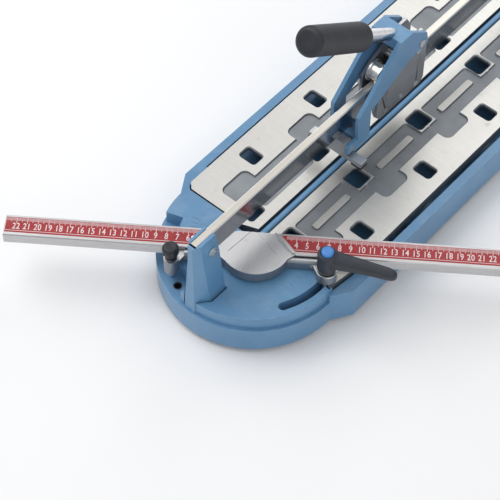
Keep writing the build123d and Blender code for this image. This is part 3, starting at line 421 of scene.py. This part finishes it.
@dataclass(frozen=True)
class RailChrome:
    """Hard chrome: ground matt on top, mirror-like and slightly cloudy on the sides, which carry a painted dark
    reflection, with a painted highlight along the shoulders.
    """

    name: str
    top_colour: Colour = (0.66, 0.63, 0.57)
    # The side colour is a painted dark blue-grey reflection of the surroundings.
    side_colour: Colour = (0.40, 0.43, 0.48)

    def make(self) -> bpy.types.Material:
        """Builds the material."""
        graph = Graph(self.name)
        top = graph.upward().between(0.9, 0.99)
        # Painted highlight: the shoulders between top and sides are painted near white.
        shoulder_painted_highlight = graph.upward().between(0.3, 0.6) * (1.0 - top)
        ground = graph.noise(0.5, 3.0, graph.place((1.0, 0.02, 1.0)))
        clouds = graph.noise(28.0, 4.0)
        drag = graph.noise(3.0, 3.0, graph.place((1.0, 0.05, 1.0)))
        # Painted reflection: the mirror sides take the dark blue-grey side colour.
        side = graph.mix(clouds.between(0.3, 0.75), self.side_colour, tuple(0.86 * part for part in self.side_colour))
        face = graph.mix(ground.between(0.3, 0.7) * 0.4, self.top_colour, tuple(0.88 * part for part in self.top_colour))
        colour = graph.mix(top, side, face)
        colour = graph.mix(shoulder_painted_highlight, colour, (0.97, 0.97, 0.97))
        rough = 0.15 + top * 0.19 + drag.between(0.5, 0.9) * 0.12 + shoulder_painted_highlight * 0.12
        return graph.finish({"Base Color": colour, "Metallic": 1.0, "Roughness": rough,
                             "Normal": graph.bump(ground, 0.008, 0.3)})


@dataclass(frozen=True)
class MouldedPlastic:
    """Moulded plastic with a fine grain and rubbed high spots."""

    name: str
    colour: Colour
    rubbed: Colour
    grain: float = 0.35
    rough: float = 0.42
    depth: float = 0.03

    def make(self) -> bpy.types.Material:
        """Builds the material."""
        graph = Graph(self.name)
        grain = graph.noise(self.grain, 2.0)
        clouds = graph.noise(14.0, 5.0)
        colour = graph.mix(clouds.between(0.35, 0.75) * 0.6, self.colour, self.rubbed)
        colour = graph.mix(graph.edges(0.6) * 0.35, colour, tuple(1.5 * part for part in self.rubbed))
        rough = self.rough + clouds * 0.12 + grain * 0.06
        return graph.finish({"Base Color": colour, "Roughness": rough, "Normal": graph.bump(grain, self.depth, 0.6)})


@dataclass(frozen=True)
class PrintedFilm:
    """Printed film: even ink that is slightly mottled and scuffed."""

    name: str
    ink: Colour
    faded: Colour
    rough: float = 0.36

    def make(self) -> bpy.types.Material:
        """Builds the material."""
        graph = Graph(self.name)
        mottle = graph.noise(5.0, 5.0)
        scuff = graph.noise(1.2, 4.0, graph.place((0.25, 1.0, 1.0), 36.0)).between(0.66, 0.82)
        colour = graph.mix(mottle.between(0.3, 0.75), self.ink, self.faded)
        colour = graph.mix(scuff * 0.12, colour, (0.75, 0.70, 0.68))
        rough = self.rough + mottle * 0.12 + scuff * 0.15
        return graph.finish({"Base Color": colour, "Roughness": rough, "Coat Weight": 0.15, "Coat Roughness": 0.2,
                             "Normal": graph.bump(mottle, 0.02, 0.25)})


@dataclass
class Paintbox:
    """Every finish of the machine, made once."""

    fence_turn: float
    materials: dict[Slot, bpy.types.Material] = field(default_factory=dict)

    def __post_init__(self) -> None:
        """Builds one material for each slot."""
        self.materials = {
            Slot.BLUE_PAINT: GlossPaint("gloss_blue", (0.130, 0.300, 0.500), (0.105, 0.255, 0.450)).make(),
            # Plain casting: the first colour is painted light on up-facing faces, the second painted shade on the
            # flanks.
            Slot.CAST_ALUMINIUM: CastMetal("plain_casting", (0.62, 0.62, 0.63), (0.36, 0.38, 0.41), turn=20.0).make(),
            Slot.EXTRUDED_ALUMINIUM: BrushedMetal("fence_extrusion", (0.60, 0.59, 0.60), self.fence_turn).make(),
            Slot.RAIL_CHROME: RailChrome("hard_chrome").make(),
            Slot.BRIGHT_STEEL: PlatedSteel("zinc_plate", (0.82, 0.82, 0.80)).make(),
            Slot.DARK_STEEL: PlatedSteel("black_oxide", (0.13, 0.13, 0.14), 0.32).make(),
            Slot.SPRING_STEEL: PlatedSteel("spring_wire", (0.42, 0.42, 0.44), 0.30).make(),
            Slot.BRONZE: PlatedSteel("turned_bronze", (0.72, 0.50, 0.26), 0.26).make(),
            Slot.RED_SCALE: PrintedFilm("red_ink", (0.33, 0.010, 0.016), (0.40, 0.020, 0.026)).make(),
            Slot.BLACK_PLASTIC: MouldedPlastic("black_moulding", (0.018, 0.019, 0.026), (0.040, 0.042, 0.052)).make(),
            Slot.LEVER_PLASTIC: MouldedPlastic("lever_moulding", (0.026, 0.030, 0.040), (0.050, 0.056, 0.070)).make(),
            Slot.BLUE_PLASTIC: MouldedPlastic("cap_moulding", (0.07, 0.24, 0.62), (0.10, 0.30, 0.70), rough=0.30).make(),
            Slot.BLACK_RUBBER: MouldedPlastic("soft_rubber", (0.02, 0.02, 0.02), (0.04, 0.04, 0.04), rough=0.7).make(),
            Slot.CARBIDE: PlatedSteel("ground_carbide", (0.42, 0.42, 0.43), 0.18).make(),
        }

    def dress(self, piece: bpy.types.Object, slot: Slot) -> None:
        """Gives a piece the material of a slot."""
        self.cover(piece, self.materials[slot])

    def cover(self, piece: bpy.types.Object, material: bpy.types.Material) -> None:
        """Gives a piece one material."""
        piece.data.materials.clear()
        piece.data.materials.append(material)


class Workshop:
    """Makes, softens and places pieces."""

    def __init__(self, paints: Paintbox) -> None:
        """Keeps the finishes and the slot of each CAD node."""
        self.paints = paints
        self.slots = {entry["node"]: Slot(entry["material_slot"]) for entry in frame["record"]["subparts"]}

    def soften(self, node: str, width: float, segments: int = 2) -> None:
        """Rounds a CAD node's sharp edges.

        Args:
            node: its name.
            width: bevel width in millimetres.
            segments: steps across each rounded edge.
        """
        piece = frame["nodes"][node]
        weld = piece.modifiers.new("join_corners", "WELD")
        weld.merge_threshold = 0.00001
        round_off = piece.modifiers.new("round_edges", "BEVEL")
        round_off.width = width * MM
        round_off.segments = segments
        round_off.limit_method = "ANGLE"
        round_off.angle_limit = math.radians(32)
        round_off.use_clamp_overlap = True
        round_off.miter_outer = "MITER_ARC"
        even = piece.modifiers.new("even_shading", "WEIGHTED_NORMAL")
        even.keep_sharp = True

    def dress_node(self, node: str, slot: Slot | None = None, width: float = 0.0) -> None:
        """Gives a CAD node its finish and rounds its edges.

        Args:
            node: its name.
            slot: finish to use instead of its own.
            width: bevel width in millimetres, or 0 for none.
        """
        self.paints.dress(frame["nodes"][node], slot or self.slots[node])
        if width:
            self.soften(node, width)
        LOG.info("dressed %s", node)

    def adopt(self, name: str, mesh: bmesh.types.BMesh, body: str, slot: Slot,
              replaces: Sequence[str] = ()) -> bpy.types.Object:
        """Makes a piece from a mesh and fixes it to a body.

        Args:
            name: the piece's name.
            mesh: its mesh, in metres, in place.
            body: body that it moves with.
            slot: its finish.
            replaces: CAD nodes that it stands for.

        Returns:
            The new piece.
        """
        bmesh.ops.recalc_face_normals(mesh, faces=mesh.faces)
        data = bpy.data.meshes.new(name)
        mesh.to_mesh(data)
        mesh.free()
        piece = bpy.data.objects.new(name, data)
        bpy.context.scene.collection.objects.link(piece)
        self.fix(piece, body, slot, replaces)
        return piece

    def fix(self, piece: bpy.types.Object, body: str, slot: Slot, replaces: Sequence[str] = ()) -> None:
        """Dresses a piece, fixes it to a body and hides the CAD nodes that it stands for."""
        self.paints.dress(piece, slot)
        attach(piece, body)
        if replaces:
            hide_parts(*replaces)
        LOG.info("made %s on %s", piece.name, body)


def bar(mesh: bmesh.types.BMesh, turn: Matrix, low: Vector, high: Vector) -> None:
    """Adds a box between two corners, then turns it.

    Args:
        mesh: mesh to add to.
        turn: where the box's own axes go.
        low: its lowest corner.
        high: its highest corner.
    """
    size = high - low
    middle = turn @ Matrix.Translation((low + high) / 2) @ Matrix.Diagonal((*size, 1.0))
    bmesh.ops.create_cube(mesh, size=1.0, matrix=middle)


def turned(mesh: bmesh.types.BMesh, axis: Matrix, profile: Sequence[tuple[float, float]], steps: int,
           reach: Callable[[float, float], float] | None = None) -> None:
    """Adds a closed turned solid.

    Args:
        mesh: mesh to add to.
        axis: where the turning axis and its foot lie.
        profile: radius and height pairs in millimetres, from the bottom up, starting and ending on the axis.
        steps: divisions round the axis.
        reach: radius factor for an angle and a height, for flutes.
    """
    rings: list[list[bmesh.types.BMVert]] = []
    for radius, height in profile:
        if radius < 1e-6:
            rings.append([mesh.verts.new(axis @ Vector((0, 0, height * MM)))])
            continue
        ring = []
        for step in range(steps):
            angle = math.tau * step / steps
            wide = radius * MM * (reach(angle, height) if reach else 1.0)
            ring.append(mesh.verts.new(axis @ Vector((wide * math.cos(angle), wide * math.sin(angle), height * MM))))
        rings.append(ring)
    for lower, upper in zip(rings, rings[1:]):
        for step in range(steps):
            after = (step + 1) % steps
            corners = [lower[step % len(lower)], lower[after % len(lower)],
                       upper[after % len(upper)], upper[step % len(upper)]]
            unique = list(dict.fromkeys(corners))
            if len(unique) > 2:
                mesh.faces.new(unique)


def smooth(piece: bpy.types.Object, angle: float = 40.0) -> None:
    """Shades a piece smooth, but keeps edges sharper than the angle."""
    piece.data.shade_smooth()
    piece.data.set_sharp_from_angle(angle=math.radians(angle))


@dataclass
class FenceScale:
    """Graduations, digits and border lines of the two printed scales."""

    shop: Workshop
    pivot: Vector
    turn: float
    digit_height: float = 7.0
    digit_width: float = 0.72
    digit_weight: float = 0.11
    digit_front: float = 15.3
    lengths: tuple[float, float, float] = (3.6, 5.0, 6.4)
    widths: tuple[float, float, float] = (0.36, 0.42, 0.50)
    rear: float = 2.5
    front: float = 17.3
    inner: float = 24.5
    lean: float = 0.8
    proud: float = 0.06
    first: int = 4

    def frame_matrix(self) -> Matrix:
        """From the fence's own axes, with its top at zero height, to the row frame."""
        top = box_of("left_scale")[1].z
        return Matrix.Translation((self.pivot.x, self.pivot.y, top)) @ Matrix.Rotation(math.radians(self.turn), 4, "Z")

    def reach(self, node: str) -> float:
        """Length of one ruler from the zero, in millimetres."""
        low, high = box_of(node)
        corners = [Vector((x, y, 0)) - Vector((self.pivot.x, self.pivot.y, 0)) for x in (low.x, high.x) for y in (low.y, high.y)]
        along = Vector((math.cos(math.radians(self.turn)), math.sin(math.radians(self.turn)), 0))
        slack = 23.0 * math.sin(math.radians(2 * self.turn)) / 2
        return max(abs(corner.dot(along)) for corner in corners) / MM - slack

    def ticks(self, side: int, last: float) -> bmesh.types.BMesh:
        """Millimetre, half-centimetre and centimetre lines of one scale, with its border line.

        Args:
            side: -1 on the left, 1 on the right.
            last: length of the ruler in millimetres.

        Returns:
            The mesh.
        """
        mesh = bmesh.new()
        turn = self.frame_matrix()
        for at in range(28, int(last) - 1):
            kind = 2 if at % 10 == 0 else 1 if at % 5 == 0 else 0
            deep, half = self.lengths[kind], self.widths[kind] / 2
            if at < self.inner + self.lean * (self.rear + deep) + 1:
                continue
            low = Vector((side * at - half, -self.rear - deep, -0.05)) * MM
            high = Vector((side * at + half, -self.rear, self.proud)) * MM
            bar(mesh, turn, low, high)
        start, end = side * (self.inner + self.lean * self.front + 1), side * (last - 1.5)
        low = Vector((min(start, end), -self.front - 0.25, -0.05)) * MM
        high = Vector((max(start, end), -self.front + 0.25, self.proud)) * MM
        bar(mesh, turn, low, high)
        return mesh

    def digits(self, side: int, last: float) -> bmesh.types.BMesh:
        """The numbers of one scale, as solid letters.

        Args:
            side: -1 on the left, 1 on the right.
            last: length of the ruler in millimetres.

        Returns:
            The mesh.
        """
        mesh = bmesh.new()
        turn = self.frame_matrix()
        for number in range(self.first, int(last / 10) + 1):
            if number * 10 > last - 4:
                continue
            curve = bpy.data.curves.new("digit", "FONT")
            curve.body = str(number)
            curve.align_x = "CENTER"
            curve.size = self.digit_height * MM * 1.38
            curve.offset = self.digit_weight * MM
            curve.extrude = self.proud * MM
            curve.resolution_u = 4
            curve.space_character = 1.08
            letter = bpy.data.objects.new("digit", curve)
            solid = bpy.data.meshes.new_from_object(letter)
            place = turn @ Matrix.Translation(Vector((side * number * 10.0, -self.digit_front, 0)) * MM)
            place = place @ Matrix.Diagonal((self.digit_width, 1.0, 1.0, 1.0))
            solid.transform(place)
            mesh.from_mesh(solid)
            bpy.data.objects.remove(letter)
            bpy.data.curves.remove(curve)
            bpy.data.meshes.remove(solid)
        bmesh.ops.remove_doubles(mesh, verts=mesh.verts, dist=0.000002)
        return mesh

    def build(self) -> None:
        """Makes the marks of both scales."""
        ink = PrintedFilm("white_ink", (0.80, 0.72, 0.72), (0.72, 0.62, 0.62)).make()
        for side, name in ((-1, "left"), (1, "right")):
            last = self.reach(name + "_ruler")
            for kind, mesh in (("ticks", self.ticks(side, last)), ("numbers", self.digits(side, last))):
                piece = self.shop.adopt(f"{name}_scale_{kind}", mesh, "swivel", Slot.RED_SCALE)
                self.shop.paints.cover(piece, ink)


@dataclass
class Fence:
    """The swivelling casting, its two rulers and the hardware on them."""

    shop: Workshop
    pivot: Vector
    turn: float

    def build(self) -> None:
        """Dresses the fence's pieces and makes its scales."""
        self.shop.dress_node("swivel_casting", width=0.6)
        for node in ("left_ruler", "right_ruler"):
            self.shop.dress_node(node, width=0.35)
        for node in ("left_scale", "right_scale"):
            self.shop.dress_node(node)
        for node in ("ruler_screws", "pivot_bolt", "pivot_washer", "plunger_sleeve", "index_spring", "clamp_washer",
                     "clamp_sleeve", "clamp_tee_nut", "clamp_stud", "index_pin"):
            self.shop.dress_node(node, width=0.2 if node != "index_spring" else 0.0)
        FenceScale(self.shop, self.pivot, self.turn).build()


@dataclass
class IndexKnob:
    """Fluted pull knob of the index pin."""

    shop: Workshop
    flutes: int = 8
    steps: int = 96

    def build(self) -> None:
        """Makes the knob on the pin's axis, inside the CAD knob's box."""
        low, high = box_of("index_knob")
        radius = (high.x - low.x) / 2 / MM
        tall = (high.z - low.z) / MM
        axis = Matrix.Translation(((low.x + high.x) / 2, (low.y + high.y) / 2, low.z))
        outline = [(0, 0), (0.66, 0), (0.70, 0.03), (0.70, 0.18), (0.78, 0.26), (0.94, 0.36), (0.99, 0.46), (1.0, 0.58),
                   (0.99, 0.72), (0.94, 0.84), (0.84, 0.93), (0.66, 0.985), (0.40, 1.0), (0.36, 0.985), (0.20, 0.975), (0, 0.975)]
        profile = [(radius * wide, tall * height) for wide, height in outline]

        def flute(angle: float, height: float) -> float:
            """Radius factor of the fluted middle."""
            share = max(0.0, 1.0 - abs(height / tall - 0.62) / 0.42)
            return 1.0 - 0.085 * share * (0.5 + 0.5 * math.cos(self.flutes * angle)) ** 2

        mesh = bmesh.new()
        turned(mesh, axis, profile, self.steps, flute)
        piece = self.shop.adopt("pull_knob", mesh, "plunger", Slot.BLACK_PLASTIC, ["index_knob"])
        smooth(piece, 60)


@dataclass
class ClampLever:
    """Adjustable clamping lever: hub, curved arm and domed cap."""

    shop: Workshop
    pivot: Vector
    hub_radius: float = 9.2
    angle: float = 27.0
    voxel: float = 0.5

    def build(self) -> None:
        """Makes the lever's body and cap."""
        low, high = box_of("clamp_lever")
        foot = Matrix.Translation((self.pivot.x, self.pivot.y, low.z)) @ Matrix.Rotation(math.radians(self.angle), 4, "Z")
        tall = (high.z - low.z) / MM
        radius = self.hub_radius
        mesh = bmesh.new()
        hub = [(0, 0.0), (radius - 1.3, 0.0), (radius - 1.0, 0.3), (radius - 1.0, 3.0), (radius, 4.0), (radius, tall - 2.2),
               (radius - 0.7, tall - 0.7), (radius - 2.0, tall), (6.3, tall), (6.1, tall - 0.3), (6.1, tall - 4.5), (0, tall - 4.5)]
        turned(mesh, foot, hub, 72)
        self.arm(mesh, foot, tall)
        piece = self.shop.adopt("lever_body", mesh, "lever", Slot.LEVER_PLASTIC, ["clamp_lever"])
        blend = piece.modifiers.new("one_moulding", "REMESH")
        blend.mode = "VOXEL"
        blend.voxel_size = self.voxel * MM
        blend.use_smooth_shade = True
        soft = piece.modifiers.new("moulded_radii", "SMOOTH")
        soft.factor = 0.5
        soft.iterations = 6
        self.cap(foot, tall)

    def arm(self, mesh: bmesh.types.BMesh, foot: Matrix, tall: float) -> None:
        """Adds the tapered arm as rounded sections from the hub to the tip.

        Args:
            mesh: mesh to add to.
            foot: the hub's axis.
            tall: height of the hub in millimetres.
        """
        stations = ((0.0, 8.4, 8.4, -9.3), (8.0, 8.2, 8.2, -9.3), (16.0, 7.4, 7.6, -9.7), (26.0, 6.6, 7.0, -10.4),
                    (36.0, 6.1, 6.5, -11.4), (46.0, 5.8, 6.0, -12.5), (55.0, 5.7, 5.6, -13.7), (60.5, 5.0, 4.9, -14.5),
                    (63.4, 3.6, 3.4, -14.9), (64.6, 1.6, 1.5, -15.1))
        rings = []
        steps = 28
        for along, wide, deep, centre in stations:
            ring = []
            for step in range(steps):
                angle = math.tau * step / steps
                across = wide * math.copysign(abs(math.cos(angle)) ** 0.78, math.cos(angle))
                up = deep * math.copysign(abs(math.sin(angle)) ** 0.78, math.sin(angle))
                ring.append(mesh.verts.new(foot @ (Vector((along, across, tall + centre + up)) * MM)))
            rings.append(ring)
        for near, far in zip(rings, rings[1:]):
            for step in range(steps):
                after = (step + 1) % steps
                mesh.faces.new((near[step], near[after], far[after], far[step]))
        mesh.faces.new(rings[0])
        mesh.faces.new(rings[-1])

    def cap(self, foot: Matrix, tall: float) -> None:
        """Makes the domed push cap."""
        low, high = box_of("release_button")
        radius = (high.x - low.x) / 2 / MM
        bottom = (low.z - foot.translation.z) / MM
        top = (high.z - foot.translation.z) / MM
        profile = [(0, bottom), (radius, bottom), (radius, top - 2.2), (radius - 0.2, top - 1.5), (radius - 0.7, top - 0.85),
                   (radius - 1.6, top - 0.35), (radius * 0.45, top - 0.08), (radius * 0.2, top), (0, top)]
        mesh = bmesh.new()
        turned(mesh, foot, profile, 72)
        piece = self.shop.adopt("push_cap", mesh, "button", Slot.BLUE_PLASTIC, ["release_button"])
        smooth(piece, 60)


@dataclass
class Base:
    """Painted base with its heads, ridge, feet and cast marks."""

    shop: Workshop
    pivot: Vector
    mark_inner: float = 56.0
    mark_outer: float = 62.0
    mark_raise: float = 0.35

    def build(self) -> None:
        """Dresses the base's nodes and casts its degree marks."""
        for node, width in (("base_casting", 1.0), ("front_head", 1.0), ("rear_head", 1.2), ("breaking_ridge", 0.3)):
            self.shop.dress_node(node, width=width)
        for node in ("ridge_pins", "rubber_feet", "foot_screws", "index_bushes", "pivot_bush", "front_head_screws",
                     "rear_head_screws"):
            self.shop.dress_node(node, width=0.2)
        for node in ("rail_clamp_bolts", "rail_clamp_nuts"):
            self.shop.dress_node(node, width=0.35)
        self.marks()

    def marks(self) -> None:
        """Makes raised degree lines on the deck, left and right of the pivot."""
        top = self.pivot.z
        mesh = bmesh.new()
        lift = Matrix.Translation((self.pivot.x, self.pivot.y, top))
        for side in (-1, 1):
            for step in range(0, 7):
                angle = math.radians(-165.0 + 5.0 * step) if side < 0 else math.radians(-15.0 - 5.0 * step + 15.0)
                outer = self.mark_outer + (2.0 if step % 3 == 0 else 0.0)
                low = Vector((self.mark_inner, -0.4, -0.1)) * MM
                high = Vector((outer, 0.4, self.mark_raise)) * MM
                bar(mesh, lift @ Matrix.Rotation(angle, 4, "Z"), low, high)
        self.shop.adopt("degree_marks", mesh, "frame", Slot.BLUE_PAINT)


@dataclass
class Tables:
    """The two sprung tables with their pins and springs."""

    shop: Workshop

    def build(self) -> None:
        """Dresses the tables."""
        top = box_of("right_table")[1].z / MM
        # Table casting: the top level gets the first colour as painted light, flanks and recesses the second as painted
        # shade.
        plate = CastMetal("table_casting", (0.66, 0.65, 0.62), (0.30, 0.32, 0.34), machined=top, turn=90.0).make()
        for side in ("left", "right"):
            self.shop.dress_node(side + "_table", width=0.5)
            self.shop.paints.cover(frame["nodes"][side + "_table"], plate)
            self.shop.dress_node(side + "_table_pins", width=0.3)
            self.shop.dress_node(side + "_table_springs")


@dataclass
class Carriage:
    """Carriage, rollers, handle, scoring wheel and breaker foot."""

    shop: Workshop

    def build(self) -> None:
        """Dresses the carriage's nodes."""
        for node in ("carriage_left_plate", "carriage_right_plate", "handle_yoke", "breaker_foot"):
            self.shop.dress_node(node, width=0.8)
        for node in ("carriage_spacers", "carriage_ties", "roller_axles", "handle_pin", "handle_tube", "wheel_holder",
                     "wheel_axle", "scoring_wheel", "breaker_pads", "breaker_pin", "front_top_roller",
                     "rear_top_roller", "front_bottom_roller", "rear_bottom_roller"):
            self.shop.dress_node(node, width=0.25)
        self.shop.dress_node("handle_grip")


@dataclass
class Studio:
    """Pale floor, soft lights and the camera."""

    pivot: Vector
    azimuth: float = 41.0
    elevation: float = 53.5
    lens: float = 131.8
    distance: float = 1.69
    aim_right: float = -0.0037
    aim_up: float = -0.0167

    def build(self) -> None:
        """Makes the floor, the lights and the camera."""
        self.floor()
        self.world()
        self.light("key", (-1.1, -0.3, 1.6), 1.5, 19.0)
        self.light("fill", (1.5, -0.6, 1.2), 1.4, 6.0)
        self.light("back", (-0.5, 1.7, 1.3), 1.3, 8.0)
        self.camera()

    def floor(self) -> None:
        """Makes the pale floor."""
        graph = Graph("pale_floor")
        cloud = graph.noise(400.0, 3.0)
        colour = graph.mix(cloud, (0.93, 0.93, 0.94), (0.96, 0.96, 0.96))
        material = graph.finish({"Base Color": colour, "Roughness": 0.9})
        mesh = bpy.data.meshes.new("studio_floor")
        far = 9.0
        mesh.from_pydata([(-far, -far, 0), (far, -far, 0), (far, far, 0), (-far, far, 0)], [], [(0, 1, 2, 3)])
        floor = bpy.data.objects.new("studio_floor", mesh)
        floor.location.z = -0.0002
        mesh.materials.append(material)
        bpy.context.scene.collection.objects.link(floor)

    def world(self) -> None:
        """Sets an even pale sky, darker towards the horizon."""
        sky = bpy.data.worlds.new("soft_sky")
        sky.use_nodes = True
        nodes, links = sky.node_tree.nodes, sky.node_tree.links
        nodes.clear()
        place = nodes.new("ShaderNodeTexCoord")
        split = nodes.new("ShaderNodeSeparateXYZ")
        ramp = nodes.new("ShaderNodeValToRGB")
        light = nodes.new("ShaderNodeBackground")
        out = nodes.new("ShaderNodeOutputWorld")
        ramp.color_ramp.elements[0].position = 0.0
        ramp.color_ramp.elements[0].color = (0.30, 0.33, 0.38, 1)
        ramp.color_ramp.elements[1].position = 0.75
        ramp.color_ramp.elements[1].color = (1.0, 1.0, 1.0, 1)
        links.new(place.outputs["Generated"], split.inputs[0])
        links.new(split.outputs["Z"], ramp.inputs[0])
        links.new(ramp.outputs[0], light.inputs["Color"])
        light.inputs["Strength"].default_value = 0.62
        links.new(light.outputs[0], out.inputs[0])
        bpy.context.scene.world = sky

    def light(self, name: str, place: Colour, size: float, power: float) -> None:
        """Makes one soft square light that faces the fence.

        Args:
            name: its name.
            place: where it stands from the pivot, in metres.
            size: side of the square, in metres.
            power: watts.
        """
        data = bpy.data.lights.new(name, "AREA")
        data.size = size
        data.energy = power
        lamp = bpy.data.objects.new(name, data)
        lamp.location = self.pivot + Vector(place)
        lamp.rotation_euler = (self.pivot - lamp.location).to_track_quat("-Z", "Y").to_euler()
        bpy.context.scene.collection.objects.link(lamp)

    def camera(self) -> None:
        """Stands the camera in front of the right-hand side, looking down at the fence."""
        turn, tilt = math.radians(self.azimuth), math.radians(self.elevation)
        ahead = Vector((-math.sin(turn) * math.cos(tilt), math.cos(turn) * math.cos(tilt), -math.sin(tilt)))
        right = Vector((math.cos(turn), math.sin(turn), 0))
        up = right.cross(ahead)
        aim = self.pivot + right * self.aim_right + up * self.aim_up
        data = bpy.data.cameras.new("camera")
        data.lens = self.lens
        data.clip_end = 50
        camera = bpy.data.objects.new("camera", data)
        camera.location = aim - ahead * self.distance
        camera.rotation_euler = ahead.to_track_quat("-Z", "Y").to_euler()
        bpy.context.scene.collection.objects.link(camera)
        bpy.context.scene.camera = camera


def main() -> None:
    """Builds the looks, one sub-assembly after the other."""
    logging.basicConfig(level=logging.INFO, format="%(name)s: %(message)s")
    bpy.context.scene.view_settings.view_transform = "Standard"
    pivot = place_of("fence_swivel")
    turn = 36.0
    shop = Workshop(Paintbox(turn))
    Base(shop, pivot).build()
    shop.dress_node("guide_rail")
    Tables(shop).build()
    Fence(shop, pivot, turn).build()
    IndexKnob(shop).build()
    ClampLever(shop, place_of("lever_turn")).build()
    Carriage(shop).build()
    zero = Vector((pivot.x, pivot.y, box_of("left_scale")[1].z))
    Studio(zero).build()


if __name__ == "__main__":
    main()
